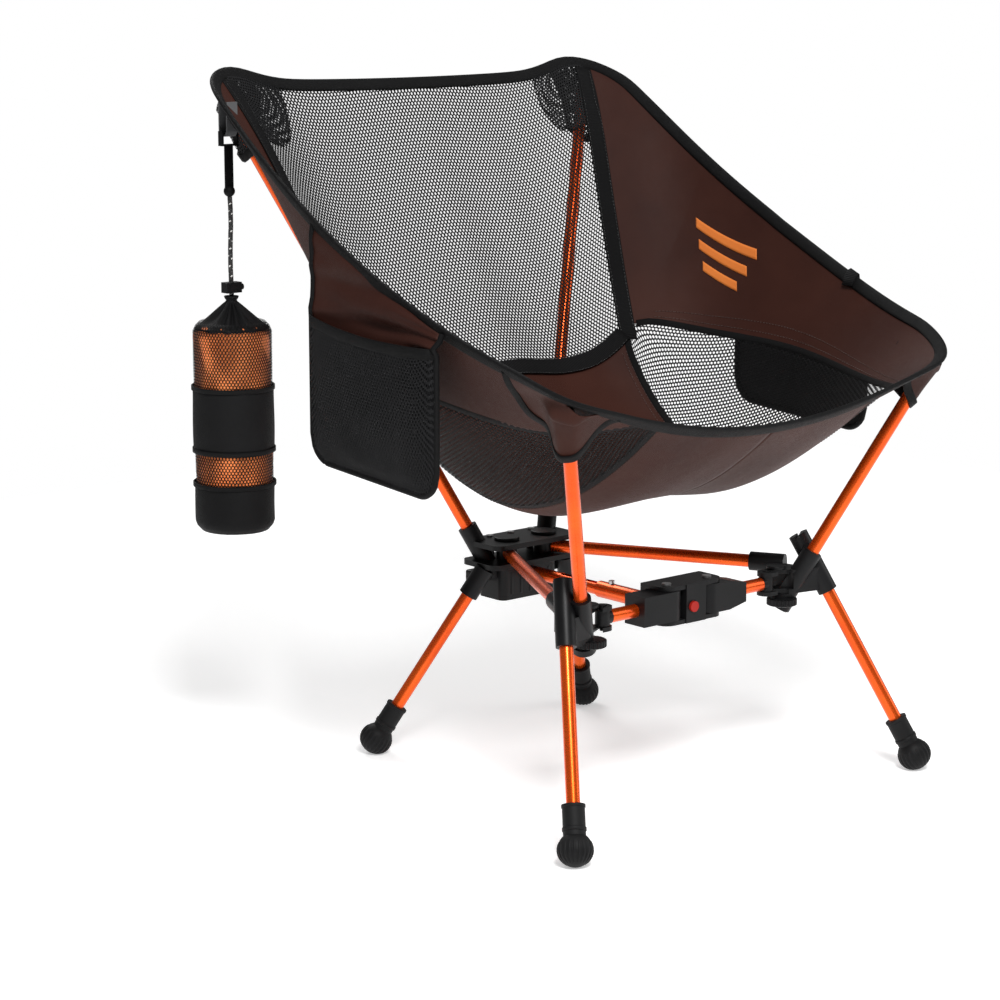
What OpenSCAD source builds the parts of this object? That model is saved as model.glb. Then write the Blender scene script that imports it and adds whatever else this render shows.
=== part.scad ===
// Low folding camp chair: a sling of fabric and mesh held on four poles, over a folding base.
// +Z is up, -Y is the front, +X is the sitter's left. Floor at z = 0, middle of the chair at the origin.

/* [Feet] */
// Half the distance between the two front feet
front_foot_x = 221; // [200:1:250]
// How far the front feet stand ahead of the middle
front_foot_y = 239; // [220:1:260]
// Half the distance between the two rear feet
rear_foot_x = 138; // [120:1:160]
// How far the rear feet stand behind the middle
rear_foot_y = 142; // [125:1:165]
// Radius of the ball foot
ball_r = 15.5; // [12:0.5:20]
// How deep the flat patch cuts into the ball
ball_flat = 0.6; // [0.3:0.1:1.5]
// Length of the foot's sleeve, from the ball's centre
foot_sleeve = 39; // [30:1:50]

/* [Tubes] */
// Outer radius of the poles, legs, arms and crossbar tubes
tube_r = 6.25; // [5:0.25:7]
// Wall of every tube
tube_wall = 0.9; // [0.7:0.1:1.2]
// Outer radius of the sliding strut's outer tube
strut_r = 8; // [7.8:0.1:8.4]
// Wall of the plastic sockets that hold the tubes
socket_wall = 3.2; // [2.4:0.1:4]
// Gap between a tube and the bore it slides in
tube_gap = 0.15; // [0.1:0.05:0.3]
// Radius of the shock cord inside a rear pole
shock_cord_r = 1.4; // [1:0.1:2]

/* [Base] */
// Height of the two swinging arms
arm_z = 197; // [190:1:210]
// Half the distance between the arms' pivots
arm_pivot_x = 24; // [20:1:30]
// How far the arms' pivots stand behind the middle
arm_pivot_y = 78; // [70:1:90]
// Height of the crossbar
bar_z = 185; // [180:1:188]
// Half the distance between the crossbar's outer pins
bar_pin_x = 106; // [100:1:112]
// How far the crossbar stands ahead of the middle
bar_y = 148; // [142:1:154]
// Half the distance between the knee's two pins
knee_pin_x = 26; // [24:1:30]
// Radius of the knee's rounded ends
knee_r = 13; // [11:0.5:14]
// Height of the sliding strut
strut_z = 175; // [172:0.5:176]
// How far the outer strut tube reaches back, from the middle
strut_back_y = 31; // [20:1:45]
// How far the front legs and poles may be pulled out of their sockets
leg_pull = 25; // [15:1:30]

/* [Rear hub] */
// Half width of the rear hub's plates
hub_plate_x = 58; // [50:1:70]
// Depth of the rear hub's plates
hub_plate_d = 52; // [44:1:60]
// Thickness of the rear hub's plates
hub_plate_t = 5; // [4:0.5:7]
// Half width of the rear hub's lower housing
hub_housing_x = 36; // [30:1:44]
// Lowest point of the rear hub's housing
hub_housing_z = 150; // [140:1:160]

/* [Seat] */
// Half width of the seat between its corners
corner_x = 236; // [210:1:260]
// Half width that the side edges bow out to
bow_x = 272; // [245:1:300]
// How far the front corners stand ahead of the middle
front_y = 258; // [240:1:280]
// How far the back's top edge stands behind the middle
back_y = 258; // [240:1:280]
// Height of the front corners
front_z = 408; // [380:1:440]
// Height of the back's top corners
back_z = 655; // [600:1:720]
// Height of the middle of the front edge
front_mid_z = 362; // [340:1:390]
// Extra depth of the seat at the hips
hip_drop = 24; // [10:1:45]
// Thickness of the fabric panels
cloth = 1.6; // [1.2:0.1:2.4]
// Radius of the bound edge
binding_r = 4.6; // [3.5:0.1:6]
// Thickness of the webbing bands sewn over the panels
band_t = 1.6; // [1.2:0.1:2.4]

/* [Pockets] */
// Width of each hanging side pocket
pocket_w = 166; // [140:1:190]
// Height of the mesh bag at the bottom of a side pocket
pocket_h = 128; // [100:1:150]
// Room inside a side pocket's bag, across it
pocket_room = 10; // [6:1:16]

/* [Pillow pouch] */
// Radius of the rolled pillow's pouch
pouch_r = 39; // [30:1:45]
// Lowest point of the pouch
pouch_z = 226; // [200:1:240]
// Length of the pouch's straight part
pouch_len = 202; // [160:1:220]
// Radius of the hanging cord
cord_r = 2.3; // [2:0.1:3]

/* [Hidden] */
$fn = 48;

orange = "orangered";
black = [0.10, 0.10, 0.11];
brown = [0.29, 0.18, 0.15];
mesh_black = [0.16, 0.16, 0.17];

// Clearances
move_gap = 0.4;          // between parts that turn or slide on each other
pin_gap = 0.12;          // between a fixed pin and its hole
turn_gap = 0.25;         // between a pin and the hole that turns on it
sew_gap = 0.25;          // between two layers of fabric

// Axes of the legs and poles
ball_z = ball_r - ball_flat;
front_foot = [front_foot_x, -front_foot_y, ball_z];
front_leg_top = [bar_pin_x + 45.5, 2.5 - bar_y, arm_z + 29];
rear_foot = [rear_foot_x, rear_foot_y, ball_z];
rear_leg_top = [arm_pivot_x + 28.3, arm_pivot_y - 0.25, arm_z - 13];
front_pole_base = [bar_pin_x + 22, 0.5 - bar_y, bar_z - 22];
rear_pole_base = [arm_pivot_x + 7.5, arm_pivot_y + 8.5, arm_z - 25];
front_leg_mouth_z = bar_z - 13;
rear_leg_mouth_z = hub_housing_z + 8;
arm_end = [bar_pin_x + 34, 16 - bar_y, arm_z];
arm_pivot = [arm_pivot_x, arm_pivot_y, arm_z];
bar_pin = [bar_pin_x, -bar_y, bar_z];
socket_r = tube_r + socket_wall;
bore_r = tube_r + tube_gap;
inner_r = tube_r - tube_wall;

// Heights in the rear hub and the knee
knuckle_h = 2 * tube_r + 0.5;
gap_low = arm_z - knuckle_h / 2 - move_gap;
gap_high = arm_z + knuckle_h / 2 + move_gap;
hub_back_y = arm_pivot_y + 30;
knee_h = 27.6;
knee_low = bar_z - knee_h / 2;
knee_high = bar_z + knee_h / 2;
bracket_t = 4;
pin_r = 2.5;
end_r = tube_r + 0.7;
clevis_gap = end_r + 0.3;
clevis_t = 4;
// The crossbar's outer pins leave their places while the base folds, along this line
slot_run = [16.8, -9.2];

// ---------- the sling's surface ----------
function bez(a, b, c, d, t) =
    (1 - t)^3 * a + 3 * t * (1 - t)^2 * b + 3 * t^2 * (1 - t) * c + t^3 * d;
// Middle line, from the front edge (v = 0) to the top of the back (v = 1)
function middle(v) = bez([0, -front_y + 1, front_mid_z], [0, -95, 200], [0, 120, 240],
    [0, back_y, back_z - 5], v);
// Side edge, as far as the fabric's own edge
bow_c = (4 * bow_x - corner_x) / 3;
function side(v) = bez([corner_x, -front_y, front_z], [bow_c, -90, front_z + 44],
    [bow_c, 90, back_z - 107], [corner_x, back_y, back_z], v);
function sling(u, v) =
    let (m = middle(v), s = side(v), rise = abs(u)^(2 + 2 * sin(180 * v)),
        hip = hip_drop * sin(180 * v)^1.5 * sin(180 * min(abs(u) / 0.92, 1))^2)
    [s.x * u, m.y + (s.y - m.y) * rise, m.z + (s.z - m.z) * rise - hip];
function unit(v) = v / norm(v);
// Points out of the seat: down, back or sideways
function outward(u, v) =
    let (e = 0.004, a = min(max(u, -1 + e), 1 - e), b = min(max(v, e), 1 - e))
    unit(cross(sling(a, b + e) - sling(a, b - e), sling(a + e, b) - sling(a - e, b)));
function off(u, v, d) = sling(u, v) + d * outward(u, v);
// Fixed lines of the panels, in shares of the width, at each v
band_v = 0.69;
side_u = 0.62;           // where the seat, back and side panels meet
function leaf(v) = sqrt(max(0, sin(180 * v / band_v)));
function back_u(v) = side_u + 0.31 * (v - band_v) / (1 - band_v);
function seam_u(v) = side_u + 0.242 * leaf(v);
function seat_u(v) = side_u - 0.085 * leaf(v);
function mix(a, b, t) = a + (b - a) * t;

// A closed sheet: near and far are functions of (i, j) on a grid of n by m cells, and far lies
// on the side where i runs right and j runs up
module sheet_solid(near, far, n, m) {
    w = m + 1;
    top = [for (i = [0:n]) for (j = [0:m]) near(i / n, j / m)];
    low = [for (i = [0:n]) for (j = [0:m]) far(i / n, j / m)];
    k = (n + 1) * w;
    faces = concat(
        [for (i = [0:n - 1]) for (j = [0:m - 1])
            let (a = i * w + j) each [[a, a + w, a + w + 1], [a, a + w + 1, a + 1]]],
        [for (i = [0:n - 1]) for (j = [0:m - 1])
            let (a = k + i * w + j) each [[a, a + w + 1, a + w], [a, a + 1, a + w + 1]]],
        [for (i = [0:n - 1]) let (a = i * w, b = a + w)
            each [[a, a + k, b + k], [a, b + k, b]]],
        [for (i = [0:n - 1]) let (a = i * w + m, b = a + w)
            each [[a, b + k, a + k], [a, b, b + k]]],
        [for (j = [0:m - 1]) let (a = j, b = j + 1)
            each [[a, b + k, a + k], [a, b, b + k]]],
        [for (j = [0:m - 1]) let (a = n * w + j, b = a + 1)
            each [[a, a + k, b + k], [a, b + k, b]]]);
    polyhedron(points = concat(top, low), faces = faces, convexity = 6);
}
// A panel of the sling between two u lines and two v lines; d is how far out it starts
module panel(u_low, u_high, v_low, v_high, n, m, d = 0, t = cloth) {
    sheet_solid(
        function (i, j) let (v = mix(v_low, v_high, j)) off(mix(u_low(v), u_high(v), i), v, d + t),
        function (i, j) let (v = mix(v_low, v_high, j)) off(mix(u_low(v), u_high(v), i), v, d),
        n, m);
}
// Mirrors its children for the sitter's right
module on_side(s) {
    if (s > 0) children();
    else mirror([1, 0, 0]) children();
}

// ---------- tubes ----------
// Turns its children so that their +Z runs from p to q, with their origin at p
module aim(p, q) {
    d = q - p;
    translate(p) rotate([0, acos(d.z / norm(d)), atan2(d.y, d.x)]) children();
}
module rod(p, q, r) {
    aim(p, q) rotate(23) cylinder(h = norm(q - p), r = r);
}
module tube(p, q, r, wall) {
    aim(p, q) difference() {
        cylinder(h = norm(q - p), r = r);
        translate([0, 0, -1]) cylinder(h = norm(q - p) + 2, r = r - wall);
    }
}
// The point on the line from p to q at height z, and the one a distance along it
function at_z(p, q, z) = p + (q - p) * (z - p.z) / (q.z - p.z);
function along(p, q, d) = p + unit(q - p) * d;
// A flat plate with round corners, centred
module plate(w, d, h, r) {
    linear_extrude(h) union() {
        square([w - 2 * r, d], center = true);
        square([w, d - 2 * r], center = true);
        for (x = [-1, 1], y = [-1, 1])
            translate([x * (w / 2 - r), y * (d / 2 - r)]) circle(r);
    }
}
// A flat bar with round ends from p to q
module link(p, q, h, r) {
    d = q - p;
    linear_extrude(h) union() {
        translate(p) circle(r);
        translate(q) circle(r);
        translate(p) rotate(atan2(d.y, d.x)) translate([0, -r]) square([norm(d), 2 * r]);
    }
}

// Tips of the poles, behind the corners of the sling
pocket_off = tube_r + 3.4;
front_pole_tip = off(0.93, 0.045, pocket_off);
rear_pole_tip = off(0.94, 0.965, pocket_off);
tip_cap = 22;

// ---------- legs and feet ----------
module leg_tube(foot, top) {
    color(orange) tube(along(foot, top, 13), along(top, foot, 6), tube_r, tube_wall);
}
module foot_piece(foot, top) {
    color(black) difference() {
        union() {
            translate(foot) sphere(ball_r);
            rod(along(foot, top, 8), along(foot, top, foot_sleeve), socket_r + 0.6);
        }
        rod(along(foot, top, 12.9), along(foot, top, foot_sleeve + 1), tube_r + 0.02);
        translate([foot.x, foot.y, -10]) cylinder(h = 10, r = ball_r);
    }
}
module leg_tube_front(s) { on_side(s) leg_tube(front_foot, front_leg_top); }
module foot_front(s) { on_side(s) foot_piece(front_foot, front_leg_top); }
module leg_tube_rear(s) { on_side(s) leg_tube(rear_foot, rear_leg_top); }
module foot_rear(s) { on_side(s) foot_piece(rear_foot, rear_leg_top); }

// ---------- rear hub ----------
rear_pole_seat = at_z(rear_pole_base, rear_pole_tip, arm_z - 15);
rear_pole_mouth = at_z(rear_pole_base, rear_pole_tip, arm_z + 25);
rear_leg_mouth = at_z(rear_foot, rear_leg_top, rear_leg_mouth_z);
module rear_hub_bores() {
    for (s = [-1, 1]) on_side(s) {
        rod(rear_pole_seat, along(rear_pole_mouth, rear_pole_tip, 2), bore_r);
        rod(along(rear_leg_mouth, rear_foot, 2), along(rear_leg_top, rear_foot, 3), bore_r);
        translate([arm_pivot_x, arm_pivot_y, gap_low - 30]) cylinder(h = 60, r = pin_r + pin_gap);
    }
}
module rear_hub_body() {
    plate_mid_y = hub_back_y - hub_plate_d / 2;
    color(black) difference() {
        union() {
            translate([0, plate_mid_y, gap_low - hub_plate_t])
                plate(2 * hub_plate_x, hub_plate_d, hub_plate_t, 9);
            translate([0, hub_back_y - 19, hub_housing_z])
                plate(2 * hub_housing_x, 38, gap_low - hub_plate_t - hub_housing_z + 1, 7);
            for (s = [-1, 1]) on_side(s) {
                rod(rear_pole_base, rear_pole_mouth, socket_r);
                rod(rear_leg_mouth, rear_leg_top, socket_r);
            }
            rod([0, hub_back_y - 45, strut_z], [0, hub_back_y - 20, strut_z], socket_r - 0.6);
        }
        rear_hub_bores();
        rod([0, 0, strut_z], [0, hub_back_y - 22, strut_z], inner_strut_r + 0.02);
    }
}
inner_strut_r = strut_r - tube_wall - 0.75;
screw_x = [-27, 0, 27];
module rear_hub_plate() {
    color(black) difference() {
        union() {
            translate([0, hub_back_y - hub_plate_d / 2, gap_high])
                plate(2 * hub_plate_x - 8, hub_plate_d, hub_plate_t, 9);
            for (x = screw_x)
                translate([x, hub_back_y - 8, gap_low]) cylinder(h = gap_high - gap_low + 1, r = 4.5);
        }
        rear_hub_bores();
        for (s = [-1, 1]) on_side(s)
            rod(rear_pole_seat, along(rear_pole_mouth, rear_pole_tip, 30), socket_r + sew_gap);
        for (x = screw_x)
            translate([x, hub_back_y - 8, gap_high]) cylinder(h = 20, r = 2);
    }
}
module rear_hub_screws() {
    color("silver") for (x = screw_x) translate([x, hub_back_y - 8, gap_high + 0.1]) {
        cylinder(h = hub_plate_t, r = 1.9);
        translate([0, 0, hub_plate_t]) cylinder(h = 1.6, r = 3.6);
    }
}
module arm_pivot_pins() {
    color("silver") for (s = [-1, 1]) on_side(s)
        translate([arm_pivot_x, arm_pivot_y, gap_low - hub_plate_t]) {
            cylinder(h = gap_high - gap_low + 2 * hub_plate_t, r = pin_r);
            translate([0, 0, gap_high - gap_low + 2 * hub_plate_t]) cylinder(h = 1.8, r = 4.6);
        }
}
module strut_inner_tube() {
    // The slot on top is where the snap button runs
    start = bracket_back + 2 + fold_slide + 2;
    color(orange) difference() {
        tube([0, start, strut_z], [0, hub_back_y - 22, strut_z], inner_strut_r, tube_wall);
        translate([-snap_r - 0.4, snap_y - snap_r - 1, strut_z])
            cube([2 * snap_r + 0.8, fold_slide + 2 * snap_r + 2, inner_strut_r + 1]);
    }
}

// ---------- rear poles ----------
pole_joint = 0.52;       // share of the pole's length where its two sections meet
module rear_pole(s) {
    mid = mix(rear_pole_seat, rear_pole_tip, pole_joint);
    color(orange) on_side(s) {
        tube(rear_pole_seat, along(mid, rear_pole_seat, 0.2), tube_r, tube_wall);
        tube(along(mid, rear_pole_tip, 0.2), along(rear_pole_tip, rear_pole_seat, 3), tube_r,
            tube_wall);
    }
}
module rear_pole_ferrules() {
    mid = mix(rear_pole_seat, rear_pole_tip, pole_joint);
    color("silver") for (s = [-1, 1]) on_side(s)
        tube(along(mid, rear_pole_seat, 34), along(mid, rear_pole_tip, 34), inner_r - 0.05, 0.8);
}
module rear_pole_cords() {
    color("white") for (s = [-1, 1]) on_side(s)
        rod(along(rear_pole_seat, rear_pole_tip, 1), along(rear_pole_tip, rear_pole_seat, tip_cap),
            shock_cord_r);
}
module pole_tip(tip, base) {
    color(black) union() {
        rod(along(tip, base, 3), along(tip, base, -1), tube_r + 0.6);
        rod(along(tip, base, tip_cap - 2), along(tip, base, 2), inner_r - 0.05);
    }
}
module rear_pole_tips() {
    for (s = [-1, 1]) on_side(s) pole_tip(rear_pole_tip, rear_pole_seat);
}

// ---------- arms, front hubs and front poles ----------
front_pole_seat = at_z(front_pole_base, front_pole_tip, bar_z);
front_pole_mouth = at_z(front_pole_base, front_pole_tip, bar_z + 28);
front_leg_mouth = at_z(front_foot, front_leg_top, front_leg_mouth_z);
arm_seat = along(arm_end, arm_pivot, 4);
arm_mouth = along(arm_end, arm_pivot, 28);
module arm_tube(s) {
    color(orange) on_side(s) tube(along(arm_pivot, arm_end, 10.2), arm_seat, tube_r, tube_wall);
}
module arm_knuckle(s) {
    color(black) on_side(s) difference() {
        union() {
            translate(arm_pivot - [0, 0, knuckle_h / 2]) cylinder(h = knuckle_h, r = 10);
            rod(arm_pivot, along(arm_pivot, arm_end, 32), inner_r - 0.05);
        }
        translate(arm_pivot - [0, 0, 20]) cylinder(h = 40, r = pin_r + turn_gap);
    }
}
module front_hub(s) {
    clevis_low = bar_z - clevis_gap - clevis_t;
    clevis_h = 2 * (clevis_gap + clevis_t);
    pin = [bar_pin.x, bar_pin.y];
    leg_at = at_z(front_foot, front_leg_top, bar_z);
    pole_at = at_z(front_pole_base, front_pole_tip, bar_z);
    heart = [pole_at.x + 2, pole_at.y + 8];
    color(black) on_side(s) difference() {
        union() {
            rod(front_leg_mouth, front_leg_top, socket_r);
            rod(at_z(front_pole_base, front_pole_tip, bar_z - 27), front_pole_mouth, socket_r);
            rod(at_z(front_pole_base, front_pole_tip, bar_z - 26),
                at_z(front_pole_base, front_pole_tip, bar_z - 20), socket_r + 1.7);
            rod(along(arm_end, arm_pivot, -6), arm_mouth, socket_r - 0.3);
            // The web that ties the three sockets together
            translate([0, 0, clevis_low]) {
                link([pole_at.x, pole_at.y], [leg_at.x - 5, leg_at.y + 3], clevis_h, 7.6);
                link(heart, [arm_end.x - 4, arm_end.y + 2], clevis_h, 9.1);
                link(pin, heart, clevis_t, 8.6);
            }
            translate([0, 0, clevis_low + clevis_h - clevis_t]) link(pin, heart, clevis_t, 8.6);
        }
        // Bores for the leg, the pole and the arm
        rod(along(front_leg_mouth, front_foot, 2), along(front_leg_top, front_foot, 4.4), bore_r);
        rod(front_pole_seat, along(front_pole_mouth, front_pole_tip, 2), bore_r);
        rod(arm_seat, along(arm_mouth, arm_pivot, 2), bore_r);
        // Room for the crossbar's end, and slots for its pin
        translate([0, 0, bar_z - clevis_gap])
            link(pin, pin + slot_run, 2 * clevis_gap, end_r + 1.3);
        translate([0, 0, clevis_low - 1]) link(pin, pin + slot_run, clevis_h + 2, pin_r + 1.4);
        // Notch across the top of the leg's sleeve
        aim(front_leg_top, front_foot) translate([-2, -15, -1]) cube([4, 30, 3.4]);
    }
}
module front_pole(s) {
    color(orange) on_side(s)
        tube(front_pole_seat, along(front_pole_tip, front_pole_seat, 3), tube_r, tube_wall);
}
module front_pole_tip_piece(s) { on_side(s) pole_tip(front_pole_tip, front_pole_seat); }

// ---------- sliding strut and knee ----------
bracket_back = -bar_y + knee_r + 1.5;
fold_slide = 66;         // how far the strut slides back when the base folds
snap_y = -strut_back_y - 16;
snap_r = 2.9;
module strut_outer_tube() {
    color(orange) difference() {
        tube([0, bracket_back + 2, strut_z], [0, -strut_back_y, strut_z], strut_r, tube_wall);
        translate([0, snap_y, strut_z]) cylinder(h = 20, r = snap_r + move_gap);
    }
}
module knee_bracket() {
    low = knee_low - move_gap - bracket_t;
    high = knee_high + move_gap;
    span = knee_pin_x + knee_r - 1;
    color(black) difference() {
        union() {
            for (z = [low, high]) translate([0, 0, z]) union() {
                link([-knee_pin_x, -bar_y], [knee_pin_x, -bar_y], bracket_t, knee_r - 1);
                translate([-span, -bar_y, 0]) cube([2 * span, knee_r + 9, bracket_t]);
            }
            translate([-span, bracket_back, low]) cube([2 * span, 7.5, high + bracket_t - low]);
            translate([-(knee_pin_x - knee_r - move_gap), -bar_y - knee_r, low])
                cube([2 * (knee_pin_x - knee_r - move_gap), 2 * knee_r + 5, high + bracket_t - low]);
            rod([0, bracket_back, strut_z], [0, bracket_back + 24, strut_z], strut_r + 2.4);
        }
        rod([0, bracket_back + 1.9, strut_z], [0, bracket_back + 40, strut_z], strut_r + 0.02);
        for (x = [-1, 1]) translate([x * knee_pin_x, -bar_y, low - 1])
            cylinder(h = 60, r = pin_r + pin_gap);
        // Recess for the lock button
        translate([lock_x, -bar_y - knee_r - 1, lock_z]) rotate([-90, 0, 0])
            cylinder(h = lock_depth + 1, r = lock_r + move_gap);
    }
}
lock_x = -4;
lock_z = bar_z - 3;
lock_r = 5;
lock_depth = 9;
lock_travel = 3;
module lock_button() {
    color("red") translate([lock_x, -bar_y - knee_r - 2.4, lock_z]) rotate([-90, 0, 0])
        cylinder(h = lock_depth - lock_travel + 2, r = lock_r);
}
module knee_pins() {
    low = knee_low - move_gap - bracket_t;
    color("silver") for (x = [-1, 1]) translate([x * knee_pin_x, -bar_y, low]) {
        cylinder(h = knee_h + 2 * move_gap + 2 * bracket_t, r = pin_r);
        translate([0, 0, knee_h + 2 * move_gap + 2 * bracket_t]) cylinder(h = 1.6, r = 4.4);
    }
}
module snap_button() {
    color("silver") translate([0, snap_y, strut_z + inner_strut_r + 0.3])
        cylinder(h = strut_r + 2.6 - inner_strut_r, r = snap_r);
}

// ---------- crossbar ----------
arm_len = 40;            // from the knee's pin to the end of its plastic arm
bar_start = knee_pin_x + arm_len;
module crossbar_tube(s) {
    color(orange) on_side(s) tube([bar_start - 18, -bar_y, bar_z], [bar_pin_x - 8, -bar_y, bar_z],
        tube_r, tube_wall);
}
module knee_arm(s, end_h) {
    color(black) on_side(s) difference() {
        intersection() {
            translate([0, 0, knee_low]) linear_extrude(knee_h) union() {
                translate([knee_pin_x, -bar_y]) circle(knee_r);
                translate([knee_pin_x, -bar_y - knee_r]) square([arm_len, 2 * knee_r]);
            }
            translate([0, -bar_y + 40, 0]) rotate([90, 0, 0]) linear_extrude(80)
                polygon([[0, knee_low - 1], [knee_pin_x + 14, knee_low - 1],
                    [bar_start + 1, bar_z - end_h / 2], [bar_start + 1, bar_z + end_h / 2],
                    [knee_pin_x + 14, knee_high + 1], [0, knee_high + 1]]);
        }
        rod([bar_start - 18.1, -bar_y, bar_z], [bar_start + 5, -bar_y, bar_z], tube_r + 0.02);
        translate([knee_pin_x, -bar_y, knee_low - 1]) cylinder(h = knee_h + 2, r = pin_r + turn_gap);
    }
}
module crossbar_end(s) {
    color(black) on_side(s) union() {
        translate([bar_pin_x, -bar_y, bar_z - end_r]) cylinder(h = 2 * end_r, r = end_r);
        rod([bar_pin_x - 8, -bar_y, bar_z], [bar_pin_x - 2, -bar_y, bar_z], end_r - 0.35);
        rod([bar_pin_x - 22, -bar_y, bar_z], [bar_pin_x - 7, -bar_y, bar_z], inner_r - 0.05);
        translate([bar_pin_x, -bar_y, bar_z - clevis_gap - clevis_t - 0.6])
            cylinder(h = 2 * clevis_gap + 2 * clevis_t + 1.2, r = pin_r);
    }
}

// ---------- sling ----------
// The fabric ends just inside the bound edge
edge_u = 0.994;
edge_front_v = 0.0078;
edge_top_v = 0.996;
module back_mesh() {
    color(mesh_black) panel(function (v) -back_u(v), function (v) back_u(v), band_v,
        edge_top_v, 16, 12);
}
module side_panel(s) {
    color(brown) on_side(s) union() {
        panel(function (v) seam_u(v), function (v) edge_u, edge_front_v, band_v, 8, 18);
        panel(function (v) back_u(v), function (v) edge_u, band_v, edge_top_v, 8, 10);
    }
}
module seat_panel() {
    color(brown) panel(function (v) -seat_u(v), function (v) seat_u(v), edge_front_v, band_v,
        14, 18);
}
module seat_mesh(s) {
    color(mesh_black) on_side(s)
        panel(function (v) seat_u(v), function (v) seam_u(v), 0.02, band_v - 0.008, 6, 16);
}
module webbing_bands() {
    color(black) union() {
        for (s = [-1, 1]) on_side(s)
            panel(function (v) back_u(v) - 0.035, function (v) back_u(v) + 0.035,
                band_v, 0.98, 2, 12, -band_t - sew_gap, band_t);
        panel(function (v) 0.02 - side_u, function (v) side_u - 0.02, band_v - 0.022, band_v + 0.022, 18, 2,
            -2 * band_t - 2 * sew_gap, band_t);
    }
}
module rim_binding() {
    side_n = 26;
    end_n = 18;
    path = concat(
        [for (i = [0:side_n - 1]) side(i / side_n)],
        [for (i = [0:end_n - 1]) sling(1 - 2 * i / end_n, 1)],
        [for (i = [0:side_n - 1]) let (p = side(1 - i / side_n)) [-p.x, p.y, p.z]],
        [for (i = [0:end_n - 1]) sling(2 * i / end_n - 1, 0)]);
    n = len(path);
    k = 8;
    rings = [for (i = [0:n - 1])
        let (t = unit(path[(i + 1) % n] - path[(i + n - 1) % n]),
            a = unit(cross(t, [0, 0, 1])), b = cross(a, t))
        for (j = [0:k - 1])
            path[i] + binding_r * (cos(360 * j / k) * a + sin(360 * j / k) * b)];
    color(black) polyhedron(points = rings, faces = [for (i = [0:n - 1]) for (j = [0:k - 1])
        let (a = i * k + j, b = i * k + (j + 1) % k,
            c = ((i + 1) % n) * k + j, d = ((i + 1) % n) * k + (j + 1) % k)
        each [[a, d, c], [a, b, d]]], convexity = 8);
}
// The (u, v) of the sling's nearest point to p, from a first guess
function under(p, u, v, n = 6) = n == 0 ? [u, v]
    : let (e = 0.002, a = (sling(u + e, v) - sling(u - e, v)) / (2 * e),
        b = (sling(u, v + e) - sling(u, v - e)) / (2 * e), r = p - sling(u, v),
        det = (a * a) * (b * b) - (a * b)^2)
    under(p, u + ((a * r) * (b * b) - (b * r) * (a * b)) / det,
        v + ((b * r) * (a * a) - (a * r) * (a * b)) / det, n - 1);
// A corner pocket: cloth over the end of a pole, with a hem on the sling at each side. Each row
// crosses the pole at a distance from its tip, and the first row closes the end
pocket_rows = [[-10.5, 0], [-7, 0.9], [-4.5, 1], [6, 1], [15, 1], [24, 1], [33, 1], [42, 1]];
pocket_cloth = 1.2;
module corner_pocket(s, tip, base, u, v) {
    room = tube_r + 2.5;
    function row(j, grow) =
        let (k = pocket_rows[j], c = along(tip, base, k[0]), f = under(c, u, v),
            d = norm(c - sling(f[0], f[1])), n = (c - sling(f[0], f[1])) / d,
            side = unit(cross(base - tip, n)), hem = cloth + 0.9 + grow,
            wide = room + 2.2 + grow, full = [[wide + 2, hem], [wide, hem],
                [room - 0.3 + grow, d + 3], [4.2, d + 7.9 + grow], [0, d + room + 0.6 + grow]],
            half = [for (q = full) [q[0], mix(hem, q[1], k[1])]])
        [for (i = [0:8]) let (q = half[i < 5 ? i : 8 - i])
            sling(f[0], f[1]) + n * q[1] + side * (i < 4 ? -q[0] : q[0])];
    rows = len(pocket_rows) - 1;
    color(black) on_side(s) sheet_solid(function (i, j) row(round(j * rows), 0)[round(i * 8)],
        function (i, j) row(round(j * rows), pocket_cloth)[round(i * 8)], 8, rows);
}
module rear_pocket(s) { corner_pocket(s, rear_pole_tip, rear_pole_seat, 0.94, 0.965); }
module front_pocket(s) { corner_pocket(s, front_pole_tip, front_pole_seat, 0.93, 0.045); }
// The share of the side edge's length at which it passes y
function side_at(y, low = 0, high = 1, n = 14) =
    let (m = (low + high) / 2) n == 0 ? m
    : side(m).y < y ? side_at(y, m, high, n - 1) : side_at(y, low, m, n - 1);
// A hanging side pocket: a flap from the side edge with a mesh bag at its foot
pocket_front_y = -104;
pocket_x = bow_x + 1.5;
pocket_low_z = front_z - 100;
pocket_rise = 14;        // how much higher the pocket's rear lower corner is than its front one
module organiser(s) {
    y0 = pocket_front_y;
    y1 = pocket_front_y + pocket_w;
    low_front = pocket_low_z;
    low_back = pocket_low_z + pocket_rise;
    flap = 1.8;
    bag = pocket_room + 2 * flap;
    skin = 0.2;
    function mouth(i) = mix(low_front, low_back, i) + pocket_h;
    // From a hem inside the bag's back wall up to the side edge
    function hang(i, j, x) =
        let (y = mix(y0 + skin, y1 - skin, i), top = side(side_at(y)),
            z = mix(mouth(i) - 12, top.z, j), t = max(0, (z - mouth(i)) / (top.z - mouth(i))))
        [mix(pocket_x, top.x, t^2) + x, y, z];
    color(black) on_side(s) difference() {
        union() {
            sheet_solid(function (i, j) hang(i, j, skin),
                function (i, j) hang(i, j, flap - skin), 8, 6);
            translate([pocket_x, 0, 0]) rotate([90, 0, 90]) linear_extrude(bag)
                polygon([[y0, low_front + 8], [y0 + 8, low_front], [y1 - 8, low_back],
                    [y1, low_back + 8], [y1, mouth(1)], [y0, mouth(0)]]);
        }
        translate([pocket_x + flap, 0, 0]) rotate([90, 0, 90]) linear_extrude(pocket_room)
            polygon([[y0 + 3, low_front + 5], [y1 - 3, low_back + 5],
                [y1 - 3, mouth(1) + 5], [y0 + 3, mouth(0) + 5]]);
    }
}

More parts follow.
